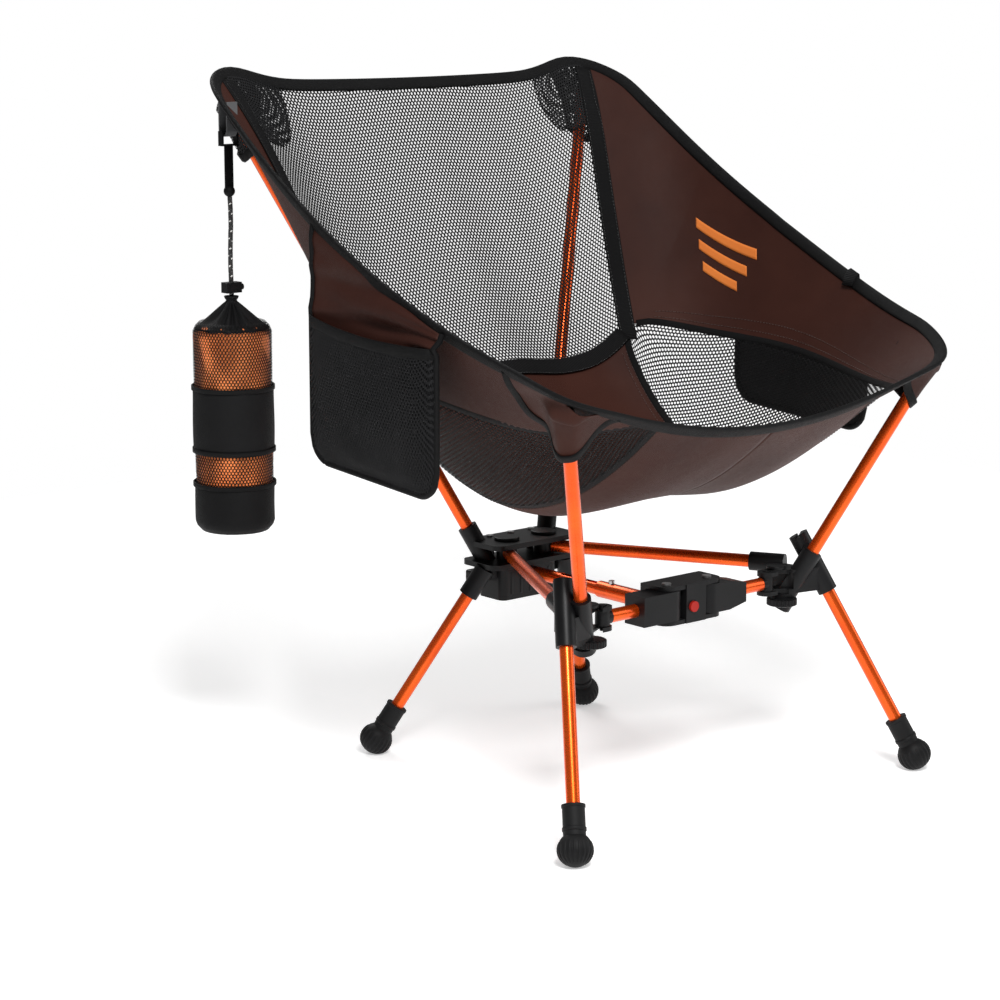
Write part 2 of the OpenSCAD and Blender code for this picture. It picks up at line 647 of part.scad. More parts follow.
// ---------- pillow pouch ----------
pouch_mid = [-corner_x - 9, back_y - 36];
loop_z = back_z - 45;
loop_r = 5.2;            // inside radius of the loop's foot
loop_t = 1.8;
loop_w = 12;
strap_w = 7;
pouch_top = pouch_z + pouch_len;
neck_top = pouch_top + 26;
knot_z = loop_z - 58;
module accessory_loop() {
    rise = side(side_at(pouch_mid.y)).z - loop_z + 3;
    color("dimgray") translate([pouch_mid.x, pouch_mid.y, loop_z]) rotate([90, 0, 90])
        linear_extrude(loop_w, center = true) difference() {
            union() {
                circle(loop_r + loop_t);
                translate([-loop_r - loop_t, 0]) square([2 * (loop_r + loop_t), rise]);
            }
            circle(loop_r);
            translate([-loop_r, 0]) square([2 * loop_r, rise + 1]);
        }
}
// A ring of webbing through the loop, a tail below it and the knot that holds the cord
module pouch_strap() {
    in_x = loop_w / 2 + 1.6;
    strap_t = 1.6;
    bar_low = -sqrt(loop_r^2 - (strap_w / 2)^2) + 0.5;
    ring_low = -loop_r - loop_t - 7;
    color(black) translate([pouch_mid.x, pouch_mid.y, loop_z]) {
        translate([0, strap_w / 2, 0]) rotate([90, 0, 0]) linear_extrude(strap_w) difference() {
            translate([-in_x - strap_t, ring_low - strap_t])
                square([2 * (in_x + strap_t), bar_low - ring_low + 2 * strap_t]);
            translate([-in_x, ring_low]) square([2 * in_x, bar_low - ring_low]);
        }
        translate([-4.6, -strap_t / 2, knot_z - loop_z])
            cube([9.2, strap_t, ring_low - knot_z + loop_z - strap_t / 2]);
        translate([0, 0, knot_z - loop_z]) sphere(5.4);
    }
}
// The cord's sideways wander between the knot and the pouch's neck
cord_wander = [[0, 0], [0.6, 0], [1, 0.4], [0.6, 0.8], [0, 0.6], [-0.4, 0.2], [-0.2, 0], [0, 0]];
module pouch_cord() {
    k = 8;
    n = len(cord_wander);
    rings = [for (i = [0:n - 1]) for (j = [0:k - 1])
        [pouch_mid.x + cord_wander[i].x + cord_r * cos(360 * j / k),
            pouch_mid.y + cord_wander[i].y + cord_r * sin(360 * j / k),
            mix(knot_z - 4, neck_top, i / (n - 1))]];
    color("dimgray") polyhedron(points = rings, faces = concat(
        [[for (j = [0:k - 1]) j]], [[for (j = [0:k - 1]) n * k - 1 - j]],
        [for (i = [0:n - 2]) for (j = [0:k - 1])
            let (a = i * k + j, b = i * k + (j + 1) % k) each [[a, a + k, b + k], [a, b + k, b]]]),
        convexity = 4);
}
lock_mid_z = neck_top + 7;
plunger_x = 5.6;
plunger_r = 2.9;
module cord_lock_body() {
    color(black) translate([pouch_mid.x, pouch_mid.y, lock_mid_z]) difference() {
        translate([-8, -5, -5]) cube([17, 10, 10]);
        translate([0, 0, -10]) cylinder(h = 20, r = cord_r + 0.9);
        translate([2, 0, 0]) rotate([0, 90, 0]) cylinder(h = 10, r = plunger_r + move_gap);
    }
}
module cord_lock_button() {
    color(black) translate([pouch_mid.x + plunger_x, pouch_mid.y, lock_mid_z])
        rotate([0, 90, 0]) cylinder(h = 7.4, r = plunger_r);
}
module pouch_bag() {
    wall = 1.6;
    color(mesh_black) translate([pouch_mid.x, pouch_mid.y, 0]) rotate_extrude() difference() {
        polygon([[0, pouch_z], [pouch_r - 8, pouch_z], [pouch_r, pouch_z + 8],
            [pouch_r, pouch_top - 8], [pouch_r - 6, pouch_top], [14, pouch_top + 11],
            [5, pouch_top + 19], [6.5, neck_top], [0, neck_top]]);
        polygon([[0, pouch_z + wall], [pouch_r - 8, pouch_z + wall],
            [pouch_r - wall, pouch_z + 8 + wall], [pouch_r - wall, pouch_top - 8],
            [pouch_r - 8, pouch_top - 1], [0, pouch_top + 6]]);
    }
}
module pillow() {
    in = pouch_r - 1.6 - 0.6;
    color(orange) translate([pouch_mid.x, pouch_mid.y, 0]) rotate_extrude()
        polygon([[0, pouch_z + 2.4], [in - 8, pouch_z + 2.4], [in, pouch_z + 10.4],
            [in, pouch_top - 10], [in - 8, pouch_top - 3], [0, pouch_top - 3]]);
}

rear_hub_body();
rear_hub_plate();
rear_hub_screws();
arm_pivot_pins();
strut_inner_tube();
rear_pole(1);  // rear_pole_left
rear_pole(-1);  // rear_pole_right
rear_pole_ferrules();
rear_pole_cords();
rear_pole_tips();
back_mesh();
side_panel(1);  // side_panel_left
side_panel(-1);  // side_panel_right
seat_panel();
seat_mesh(1);  // seat_mesh_left
seat_mesh(-1);  // seat_mesh_right
webbing_bands();
rim_binding();
rear_pocket(1);  // rear_pocket_left
rear_pocket(-1);  // rear_pocket_right
front_pocket(1);  // front_pocket_left
front_pocket(-1);  // front_pocket_right
organiser(1);  // organiser_left
organiser(-1);  // organiser_right
accessory_loop();
arm_tube(1);  // arm_tube_left
arm_knuckle(1);  // arm_knuckle_left
front_hub(1);  // front_hub_left
front_pole(1);  // front_pole_left
front_pole_tip_piece(1);  // front_pole_tip_left
arm_tube(-1);  // arm_tube_right
arm_knuckle(-1);  // arm_knuckle_right
front_hub(-1);  // front_hub_right
front_pole(-1);  // front_pole_right
front_pole_tip_piece(-1);  // front_pole_tip_right
leg_tube_front(1);  // leg_tube_front_left
foot_front(1);  // foot_front_left
leg_tube_front(-1);  // leg_tube_front_right
foot_front(-1);  // foot_front_right
leg_tube_rear(1);  // leg_tube_rear_left
foot_rear(1);  // foot_rear_left
leg_tube_rear(-1);  // leg_tube_rear_right
foot_rear(-1);  // foot_rear_right
strut_outer_tube();
knee_bracket();
knee_pins();
snap_button();
crossbar_tube(1);  // crossbar_tube_left
knee_arm(1, 18);  // knee_arm_left
crossbar_end(1);  // crossbar_end_left
crossbar_tube(-1);  // crossbar_tube_right
knee_arm(-1, 27.6);  // knee_arm_right
crossbar_end(-1);  // crossbar_end_right
lock_button();
pouch_strap();
pouch_cord();
cord_lock_body();
cord_lock_button();
pouch_bag();
pillow();
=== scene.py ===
import math
import random

import bmesh
import bpy
from mathutils import Matrix, Vector, noise


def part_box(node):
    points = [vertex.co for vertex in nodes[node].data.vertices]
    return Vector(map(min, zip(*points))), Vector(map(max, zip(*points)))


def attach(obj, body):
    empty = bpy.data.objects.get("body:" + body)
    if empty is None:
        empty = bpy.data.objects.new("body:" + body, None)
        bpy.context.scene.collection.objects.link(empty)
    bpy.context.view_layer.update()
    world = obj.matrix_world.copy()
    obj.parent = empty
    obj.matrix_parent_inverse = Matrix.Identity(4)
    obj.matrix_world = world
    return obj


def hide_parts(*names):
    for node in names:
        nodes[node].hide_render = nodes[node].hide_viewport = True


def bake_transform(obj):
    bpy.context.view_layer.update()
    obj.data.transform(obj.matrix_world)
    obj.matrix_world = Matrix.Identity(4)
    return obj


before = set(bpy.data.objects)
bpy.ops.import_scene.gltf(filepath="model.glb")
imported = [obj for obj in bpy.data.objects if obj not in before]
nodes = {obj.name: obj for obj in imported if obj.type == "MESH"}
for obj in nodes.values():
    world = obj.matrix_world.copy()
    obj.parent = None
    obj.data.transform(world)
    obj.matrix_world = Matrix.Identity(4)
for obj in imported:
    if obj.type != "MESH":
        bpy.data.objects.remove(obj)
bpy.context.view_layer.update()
random.seed(11)
shared = bpy.context.scene.collection


# ---------- camera ----------
camera = {"place": (-1.7344, -1.8915, 0.7649), "tilt": 78.80, "turn": -40.83, "lens": 98.07}
bpy.ops.object.camera_add(location=camera["place"], rotation=(
    math.radians(camera["tilt"]), 0, math.radians(camera["turn"])))
chairCamera = bpy.context.object
chairCamera.data.lens = camera["lens"]
chairCamera.data.sensor_width = 36
bpy.context.scene.camera = chairCamera
print("camera placed")


# ---------- small helpers ----------
def clearSelection():
    bpy.ops.object.select_all(action="DESELECT")


def activate(piece):
    clearSelection()
    piece.select_set(True)
    bpy.context.view_layer.objects.active = piece


def mix(a, b, t):
    return a + (b - a) * t


def smoothStep(a, b, x):
    t = min(max((x - a) / (b - a), 0.0), 1.0)
    return t * t * (3 - 2 * t)


def paint(piece, material):
    piece.data.materials.clear()
    piece.data.materials.append(material)


def meshPiece(name, points, faces, uvs=None, material=None):
    mesh = bpy.data.meshes.new(name)
    mesh.from_pydata([tuple(p) for p in points], [], faces)
    if uvs:
        layer = mesh.uv_layers.new(name="UVMap")
        for loop in mesh.loops:
            layer.data[loop.index].uv = uvs[loop.vertex_index]
    mesh.polygons.foreach_set("use_smooth", [True] * len(mesh.polygons))
    piece = bpy.data.objects.new(name, mesh)
    shared.objects.link(piece)
    if material:
        paint(piece, material)
    return piece


def solidify(piece, thickness):
    activate(piece)
    wall = piece.modifiers.new("wall", "SOLIDIFY")
    wall.thickness = thickness
    wall.offset = 0
    bpy.ops.object.modifier_apply(modifier="wall")
    return piece


# A sheet on a grid: place(i, j) gives its points, and its UVs are in metres along the cloth
def gridPiece(name, place, acrossCount, alongCount, material, thickness=0.0007):
    points = [[place(i / acrossCount, j / alongCount) for i in range(acrossCount + 1)]
              for j in range(alongCount + 1)]
    acrossRun = [[0.0] for _ in points]
    for j, row in enumerate(points):
        for i in range(acrossCount):
            acrossRun[j].append(acrossRun[j][-1] + (row[i + 1] - row[i]).length)
    alongRun = [[0.0] * (acrossCount + 1)]
    for j in range(alongCount):
        alongRun.append([alongRun[j][i] + (points[j + 1][i] - points[j][i]).length
                         for i in range(acrossCount + 1)])
    uvs = [(acrossRun[j][i] - acrossRun[j][-1] / 2, alongRun[j][i])
           for j in range(alongCount + 1) for i in range(acrossCount + 1)]
    width = acrossCount + 1
    faces = [(j * width + i, j * width + i + 1, (j + 1) * width + i + 1, (j + 1) * width + i)
             for j in range(alongCount) for i in range(acrossCount)]
    piece = meshPiece(name, [p for row in points for p in row], faces, uvs, material)
    if thickness:
        solidify(piece, thickness)
    return piece


# A round or flat bar swept along frames: each frame is (centre, wide direction, thin direction)
def sweepPiece(name, frames, ring, material, closed=False, capped=True):
    count = len(ring)
    points, uvs, run = [], [], 0.0
    around = [0.0]
    for k in range(count):
        around.append(around[-1] + math.dist(ring[k], ring[(k + 1) % count]))
    for f, (centre, wide, thin) in enumerate(frames):
        if f:
            run += (centre - frames[f - 1][0]).length
        for k, (a, b) in enumerate(ring):
            points.append(centre + wide * a + thin * b)
            uvs.append((around[k], run))
    faces = []
    last = len(frames) if closed else len(frames) - 1
    for f in range(last):
        g = (f + 1) % len(frames)
        for k in range(count):
            m = (k + 1) % count
            faces.append((f * count + k, f * count + m, g * count + m, g * count + k))
    if not closed and capped:
        faces.append(tuple(reversed(range(count))))
        faces.append(tuple((len(frames) - 1) * count + k for k in range(count)))
    piece = meshPiece(name, points, faces, uvs, material)
    rebuilt = bmesh.new()
    rebuilt.from_mesh(piece.data)
    bmesh.ops.recalc_face_normals(rebuilt, faces=rebuilt.faces)
    rebuilt.to_mesh(piece.data)
    rebuilt.free()
    return piece


def roundRing(radius, count=10):
    return [(radius * math.cos(2 * math.pi * k / count), radius * math.sin(2 * math.pi * k / count))
            for k in range(count)]


def flatRing(wide, thin):
    return [(-wide, -thin * 0.6), (-wide * 0.9, -thin), (wide * 0.9, -thin), (wide, -thin * 0.6),
            (wide, thin * 0.6), (wide * 0.9, thin), (-wide * 0.9, thin), (-wide, thin * 0.6)]


# Frames along a list of points, with the wide direction kept close to a hint
def framesAlong(points, hint):
    frames = []
    for k, p in enumerate(points):
        before = points[max(k - 1, 0)]
        after = points[min(k + 1, len(points) - 1)]
        run = (after - before).normalized()
        side = hint(k) if callable(hint) else Vector(hint)
        wide = (side - run * side.dot(run)).normalized()
        frames.append((p, wide, run.cross(wide)))
    return frames


# ---------- node groups ----------
def newGroup(name, inputs, outputs):
    tree = bpy.data.node_groups.new(name, "ShaderNodeTree")
    for label, kind, value in inputs:
        socket = tree.interface.new_socket(name=label, in_out="INPUT", socket_type=kind)
        if value is not None:
            socket.default_value = value
    for label, kind in outputs:
        tree.interface.new_socket(name=label, in_out="OUTPUT", socket_type=kind)
    return tree, tree.nodes.new("NodeGroupInput"), tree.nodes.new("NodeGroupOutput")


def feedNode(tree, node, feeds):
    for key, value in feeds.items():
        if isinstance(value, bpy.types.NodeSocket):
            tree.links.new(value, node.inputs[key])
        else:
            node.inputs[key].default_value = value
    return node


def addNode(tree, kind, feeds=None, **settings):
    node = tree.nodes.new(kind)
    for key, value in settings.items():
        setattr(node, key, value)
    return feedNode(tree, node, feeds or {})


def mathNode(tree, operation, a, b=None):
    feeds = {0: a}
    if b is not None:
        feeds[1] = b
    return addNode(tree, "ShaderNodeMath", feeds, operation=operation).outputs[0]


# Round holes in staggered rows: Strand is 1 on the yarn and 0 in a hole
def makeOpenMesh():
    tree, given, result = newGroup("openMesh", [
        ("UV", "NodeSocketVector", None), ("Pitch", "NodeSocketFloat", 0.004),
        ("Hole", "NodeSocketFloat", 0.34)],
        [("Strand", "NodeSocketFloat"), ("Height", "NodeSocketFloat")])
    scaled = addNode(tree, "ShaderNodeVectorMath", {0: given.outputs["UV"], 3: 1.0},
                     operation="SCALE")
    inverse = mathNode(tree, "DIVIDE", 1.0, given.outputs["Pitch"])
    tree.links.new(inverse, scaled.inputs[3])
    squashed = addNode(tree, "ShaderNodeVectorMath",
                       {0: scaled.outputs[0], 1: (1.0, 0.62, 1.0)}, operation="MULTIPLY")
    distances = []
    for shift in (0.0, 0.5):
        moved = addNode(tree, "ShaderNodeVectorMath",
                        {0: squashed.outputs[0], 1: (shift, shift, 0)}, operation="ADD")
        cell = addNode(tree, "ShaderNodeVectorMath", {0: moved.outputs[0]}, operation="FRACTION")
        centred = addNode(tree, "ShaderNodeVectorMath", {0: cell.outputs[0], 1: (0.5, 0.5, 0)},
                          operation="SUBTRACT")
        flat = addNode(tree, "ShaderNodeVectorMath", {0: centred.outputs[0], 1: (1.0, 1.45, 0)},
                       operation="MULTIPLY")
        distances.append(addNode(tree, "ShaderNodeVectorMath", {0: flat.outputs[0]},
                                 operation="LENGTH").outputs["Value"])
    near = mathNode(tree, "MINIMUM", distances[0], distances[1])
    low = mathNode(tree, "SUBTRACT", given.outputs["Hole"], 0.03)
    high = mathNode(tree, "ADD", given.outputs["Hole"], 0.03)
    strand = addNode(tree, "ShaderNodeMapRange", {"Value": near, "From Min": low, "From Max": high})
    tree.links.new(strand.outputs[0], result.inputs["Strand"])
    tree.links.new(near, result.inputs["Height"])
    return tree


# Plain weave: threads over and under at a stated pitch
def makePlainWeave():
    tree, given, result = newGroup("plainWeave", [
        ("UV", "NodeSocketVector", None), ("Pitch", "NodeSocketFloat", 0.0006)],
        [("Height", "NodeSocketFloat")])
    split = addNode(tree, "ShaderNodeSeparateXYZ", {0: given.outputs["UV"]})
    turns = mathNode(tree, "DIVIDE", 2 * math.pi, given.outputs["Pitch"])
    waves = []
    for axis in (0, 1):
        angle = mathNode(tree, "MULTIPLY", split.outputs[axis], turns)
        waves.append(mathNode(tree, "SINE", angle))
    height = mathNode(tree, "MULTIPLY", waves[0], waves[1])
    tree.links.new(height, result.inputs["Height"])
    return tree


# Ribs across a strap, and fine threads along it
def makeStrapRibs():
    tree, given, result = newGroup("strapRibs", [
        ("UV", "NodeSocketVector", None), ("Pitch", "NodeSocketFloat", 0.0016)],
        [("Height", "NodeSocketFloat")])
    split = addNode(tree, "ShaderNodeSeparateXYZ", {0: given.outputs["UV"]})
    turns = mathNode(tree, "DIVIDE", 2 * math.pi, given.outputs["Pitch"])
    ribs = mathNode(tree, "SINE", mathNode(tree, "MULTIPLY", split.outputs[1], turns))
    doubled = mathNode(tree, "MULTIPLY", turns, 1.7)
    threads = mathNode(tree, "SINE", mathNode(tree, "MULTIPLY", split.outputs[0], doubled))
    height = mathNode(tree, "ADD", ribs, mathNode(tree, "MULTIPLY", threads, 0.45))
    tree.links.new(height, result.inputs["Height"])
    return tree


# Slow variation for colour, and a finer one for roughness
def makeMottle():
    tree, given, result = newGroup("mottle", [
        ("Place", "NodeSocketVector", None), ("Coarse", "NodeSocketFloat", 14.0),
        ("Fine", "NodeSocketFloat", 180.0)],
        [("Slow", "NodeSocketFloat"), ("Quick", "NodeSocketFloat")])
    for name, size, detail in (("Slow", "Coarse", 3.0), ("Quick", "Fine", 4.0)):
        pattern = addNode(tree, "ShaderNodeTexNoise", {
            "Vector": given.outputs["Place"], "Scale": given.outputs[size], "Detail": detail,
            "Roughness": 0.55})
        tree.links.new(pattern.outputs[0], result.inputs[name])
    return tree


openMesh = makeOpenMesh()
plainWeave = makePlainWeave()
strapRibs = makeStrapRibs()
mottle = makeMottle()


def startMaterial(name):
    material = bpy.data.materials.new(name)
    material.use_nodes = True
    tree = material.node_tree
    return material, tree, tree.nodes["Principled BSDF"]


def placeGroup(tree, group, feeds):
    node = tree.nodes.new("ShaderNodeGroup")
    node.node_tree = group
    return feedNode(tree, node, feeds)


def colourRamp(tree, factor, dark, light, low=0.3, high=0.7):
    ramp = addNode(tree, "ShaderNodeValToRGB", {0: factor})
    ramp.color_ramp.elements[0].position = low
    ramp.color_ramp.elements[1].position = high
    ramp.color_ramp.elements[0].color = (*dark, 1)
    ramp.color_ramp.elements[1].color = (*light, 1)
    return ramp.outputs[0]


def rangeNode(tree, value, low, high):
    node = addNode(tree, "ShaderNodeMapRange", {"Value": value, "To Min": low, "To Max": high})
    return node.outputs[0]


def bumpNode(tree, height, strength, distance, normal=None):
    feeds = {"Height": height, "Strength": strength, "Distance": distance}
    if normal is not None:
        feeds["Normal"] = normal
    return addNode(tree, "ShaderNodeBump", feeds).outputs[0]


# ---------- materials ----------
def fabricMaterial(name, dark, light, rough, sheen, pitch=0.0007, pattern=None, hole=None,
                   holePitch=0.004, bump=0.25, wrinkle=0.25):
    material, tree, shader = startMaterial(name)
    where = addNode(tree, "ShaderNodeTexCoord")
    uv, place = where.outputs["UV"], where.outputs["Object"]
    spots = placeGroup(tree, mottle, {"Place": place, "Coarse": 9.0, "Fine": 240.0})
    tree.links.new(colourRamp(tree, spots.outputs["Slow"], dark, light),
                   shader.inputs["Base Color"])
    tree.links.new(rangeNode(tree, spots.outputs["Quick"], rough - 0.08, rough + 0.08),
                   shader.inputs["Roughness"])
    creases = addNode(tree, "ShaderNodeTexNoise", {
        "Vector": place, "Scale": 16.0, "Detail": 2.0, "Roughness": 0.45, "Distortion": 0.6})
    soft = bumpNode(tree, creases.outputs[0], wrinkle, 0.006)
    weave = placeGroup(tree, pattern or plainWeave, {"UV": uv, "Pitch": pitch})
    normal = bumpNode(tree, weave.outputs["Height"], bump, 0.0004, soft)
    if hole:
        net = placeGroup(tree, openMesh, {"UV": uv, "Pitch": holePitch, "Hole": hole})
        tree.links.new(net.outputs["Strand"], shader.inputs["Alpha"])
        normal = bumpNode(tree, net.outputs["Height"], 0.5, 0.0006, normal)
    tree.links.new(normal, shader.inputs["Normal"])
    shader.inputs["Sheen Weight"].default_value = sheen
    shader.inputs["Sheen Roughness"].default_value = 0.4
    shader.inputs["Specular IOR Level"].default_value = 0.14
    return material


def mottledStart(name, dark, light, coarse, fine):
    material, tree, shader = startMaterial(name)
    place = addNode(tree, "ShaderNodeTexCoord").outputs["Object"]
    spots = placeGroup(tree, mottle, {"Place": place, "Coarse": coarse, "Fine": fine})
    tree.links.new(colourRamp(tree, spots.outputs["Slow"], dark, light),
                   shader.inputs["Base Color"])
    return material, tree, shader, spots


def plasticMaterial(name, dark, light, rough, grain=0.18):
    material, tree, shader, spots = mottledStart(name, dark, light, 22.0, 1500.0)
    tree.links.new(rangeNode(tree, spots.outputs["Slow"], rough - 0.07, rough + 0.09),
                   shader.inputs["Roughness"])
    tree.links.new(bumpNode(tree, spots.outputs["Quick"], grain, 0.0003),
                   shader.inputs["Normal"])
    shader.inputs["Specular IOR Level"].default_value = 0.2
    return material


def metalMaterial(name, dark, light, rough, metallic, coat=0.0, grain=0.08):
    material, tree, shader, spots = mottledStart(name, dark, light, 30.0, 900.0)
    tree.links.new(rangeNode(tree, spots.outputs["Quick"], rough - 0.05, rough + 0.07),
                   shader.inputs["Roughness"])
    tree.links.new(bumpNode(tree, spots.outputs["Quick"], grain, 0.0002),
                   shader.inputs["Normal"])
    shader.inputs["Metallic"].default_value = metallic
    shader.inputs["Coat Weight"].default_value = coat
    shader.inputs["Coat Roughness"].default_value = 0.15
    return material


brownCloth = fabricMaterial("brownCloth", (0.036, 0.0115, 0.0080), (0.055, 0.0180, 0.0120), 0.5, 0.0)
openNet = fabricMaterial("openNet", (0.0035, 0.0035, 0.0038), (0.007, 0.007, 0.0075), 0.6, 0.0,
                         hole=0.33, holePitch=0.0042, wrinkle=0.1)
doubleNet = fabricMaterial("doubleNet", (0.009, 0.009, 0.0098), (0.016, 0.016, 0.017), 0.6, 0.0,
                           hole=0.27, holePitch=0.0036, wrinkle=0.2)
blackCloth = fabricMaterial("blackCloth", (0.0035, 0.0035, 0.0038), (0.007, 0.007, 0.0075), 0.62, 0.0,
                            wrinkle=0.35)
blackWebbing = fabricMaterial("blackWebbing", (0.0035, 0.0035, 0.0038), (0.006, 0.006, 0.0065), 0.6,
                              0.0, pitch=0.0018, pattern=strapRibs, bump=0.5, wrinkle=0.1)
bindingTape = fabricMaterial("bindingTape", (0.003, 0.003, 0.0033), (0.006, 0.006, 0.0063), 0.58,
                             0.0, pitch=0.0011, pattern=strapRibs, bump=0.45, wrinkle=0.12)
greyWebbing = fabricMaterial("greyWebbing", (0.085, 0.087, 0.09), (0.13, 0.132, 0.136), 0.65, 0.3,
                             pitch=0.0018, pattern=strapRibs, bump=0.5, wrinkle=0.1)
pouchNet = fabricMaterial("pouchNet", (0.0035, 0.0035, 0.0038), (0.007, 0.007, 0.0075), 0.6, 0.0,
                          hole=0.36, holePitch=0.0034, wrinkle=0.1)
pillowCloth = fabricMaterial("pillowCloth", (0.95, 0.20, 0.045), (1.0, 0.30, 0.09), 0.7, 0.4,
                             wrinkle=0.4)
orangePrint = fabricMaterial("orangePrint", (0.75, 0.19, 0.035), (0.85, 0.25, 0.05), 0.55, 0.1,
                             wrinkle=0.1)
threadBlack = fabricMaterial("threadBlack", (0.012, 0.012, 0.012), (0.03, 0.03, 0.03), 0.6, 0.3)
threadBrown = fabricMaterial("threadBrown", (0.03, 0.013, 0.01), (0.07, 0.035, 0.025), 0.6, 0.3)
orangeTube = metalMaterial("orangeTube", (0.84, 0.085, 0.003), (0.95, 0.125, 0.006), 0.27, 0.8,
                           coat=0.25)
blackPlastic = plasticMaterial("blackPlastic", (0.004, 0.004, 0.0045), (0.009, 0.009, 0.0095), 0.4)
softPlastic = plasticMaterial("softPlastic", (0.005, 0.005, 0.0053), (0.010, 0.010, 0.0105), 0.58,
                              0.3)
redPlastic = plasticMaterial("redPlastic", (0.35, 0.012, 0.008), (0.45, 0.02, 0.012), 0.35)
steelMetal = metalMaterial("steelMetal", (0.42, 0.42, 0.42), (0.58, 0.58, 0.58), 0.32, 1.0)
drawnMetal = metalMaterial("drawnMetal", (0.6, 0.6, 0.62), (0.74, 0.74, 0.76), 0.36, 1.0)
print("materials made")


# Braided cord: dark, with pale flecks that wind round it
def cordMaterial():
    material, tree, shader = startMaterial("fleckedCord")
    uv = addNode(tree, "ShaderNodeTexCoord").outputs["UV"]
    split = addNode(tree, "ShaderNodeSeparateXYZ", {0: uv})
    wind = mathNode(tree, "MULTIPLY", split.outputs[0], 2 * math.pi / 0.0145)
    climb = mathNode(tree, "MULTIPLY", split.outputs[1], 2 * math.pi / 0.0085)
    right = mathNode(tree, "SINE", mathNode(tree, "ADD", wind, climb))
    left = mathNode(tree, "SINE", mathNode(tree, "SUBTRACT", mathNode(tree, "MULTIPLY", wind, 2),
                                           mathNode(tree, "MULTIPLY", climb, 1.6)))
    fleck = mathNode(tree, "MULTIPLY", mathNode(tree, "MAXIMUM", right, 0),
                     mathNode(tree, "MAXIMUM", left, 0))
    tree.links.new(colourRamp(tree, fleck, (0.012, 0.012, 0.012), (0.75, 0.75, 0.72), 0.52, 0.62),
                   shader.inputs["Base Color"])
    braid = mathNode(tree, "MULTIPLY", right, left)
    tree.links.new(rangeNode(tree, braid, 0.5, 0.75), shader.inputs["Roughness"])
    tree.links.new(bumpNode(tree, braid, 0.6, 0.0006), shader.inputs["Normal"])
    shader.inputs["Sheen Weight"].default_value = 0.2
    return material


fleckedCord = cordMaterial()

# ---------- hanging cord ----------
cordLow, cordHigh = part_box("pouch_cord")
hangingCord = {"x": (cordLow.x + cordHigh.x) / 2, "y": 0.222, "top": 0.548, "foot": 0.454,
               "radius": 0.0023,
               "wander": [(0, 0), (0.6, 0), (1, 0.4), (0.6, 0.8), (0, 0.6), (-0.4, 0.2),
                          (-0.2, 0), (0, 0)]}


def wanderAt(t):
    steps = hangingCord["wander"]
    k = min(int(t * (len(steps) - 1)), len(steps) - 2)
    s = t * (len(steps) - 1) - k
    s = s * s * (3 - 2 * s)
    return Vector((mix(steps[k][0], steps[k + 1][0], s), mix(steps[k][1], steps[k + 1][1], s), 0))


cordPath = [Vector((hangingCord["x"], hangingCord["y"],
                    mix(hangingCord["top"], hangingCord["foot"], t / 24)))
            + wanderAt(t / 24) * 0.001 for t in range(25)]
pouchCord = sweepPiece("pouchCordBraid", framesAlong(cordPath, (1, 0, 0)),
                       roundRing(hangingCord["radius"], 14), fleckedCord)
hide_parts("pouch_cord")
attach(pouchCord, "pouch")
print("cord made")

# ---------- the sling's surface ----------
sling = {"cornerX": 0.236, "bowX": 0.272, "frontY": 0.258, "backY": 0.258, "frontZ": 0.408,
         "backZ": 0.655, "middleZ": 0.362, "hipDrop": 0.013, "bandV": 0.69, "sideU": 0.62,
         "cornerRound": 0.044, "rearLobe": 0.025, "frontLobe": 0.014, "topSag": 0.003}


def bezier(a, b, c, d, t):
    s = 1 - t
    return Vector([s ** 3 * p + 3 * t * s * s * q + 3 * t * t * s * r + t ** 3 * w
                   for p, q, r, w in zip(a, b, c, d)])


def middleLine(v):
    return bezier((0, -sling["frontY"] + 0.001, sling["middleZ"]), (0, -0.095, 0.2),
                  (0, 0.12, 0.24), (0, sling["backY"], sling["backZ"] - 0.005), v)


def sideLine(v):
    bow = (4 * sling["bowX"] - sling["cornerX"]) / 3
    return bezier((sling["cornerX"], -sling["frontY"], sling["frontZ"]),
                  (bow, -0.09, sling["frontZ"] + 0.044), (bow, 0.09, sling["backZ"] - 0.107),
                  (sling["cornerX"], sling["backY"], sling["backZ"]), v)


def plainPoint(u, v):
    m, s = middleLine(v), sideLine(v)
    arch = max(math.sin(math.pi * v), 0.0)
    rise = abs(u) ** (2 + 2 * arch)
    hip = sling["hipDrop"] * arch ** 1.5 * math.sin(math.pi * min(abs(u) / 0.92, 1)) ** 2
    return Vector((s.x * u, mix(m.y, s.y, rise), mix(m.z, s.z, rise) - hip))


# Each corner is rounded, and the pole pushes it out a little beyond the straight edges
acrossSize, alongSize = 0.236, {0: 0.34, 1: 0.40}


def slingPoint(u, v):
    rear = v > 0.5
    size = alongSize[rear]
    a, b = (1 - abs(u)) * acrossSize, ((1 - v) if rear else v) * size
    r = sling["cornerRound"]
    if a < r and b < r:
        p, q = r - a, r - b
        far = math.hypot(p, q)
        if far > 0:
            share = max(p, q) / far
            a, b = r - p * share, r - q * share
    cornered = math.copysign(1 - a / acrossSize, u)
    lengthwise = (1 - b / size) if rear else b / size
    push = math.exp(-(a / 0.048) ** 2 - (b / (0.10 if rear else 0.05)) ** 2)
    lobe = Vector((math.copysign(0.62, u), 0.2, 0.76)) * sling["rearLobe"] if rear else (
        Vector((math.copysign(0.7, u), -0.65, 0.15)) * sling["frontLobe"])
    sag = sling["topSag"] * smoothStep(0.01, 0.09, a) * math.exp(-(b / 0.06) ** 2) if rear else 0
    return plainPoint(cornered, lengthwise) + lobe * push - Vector((0, 0, sag))


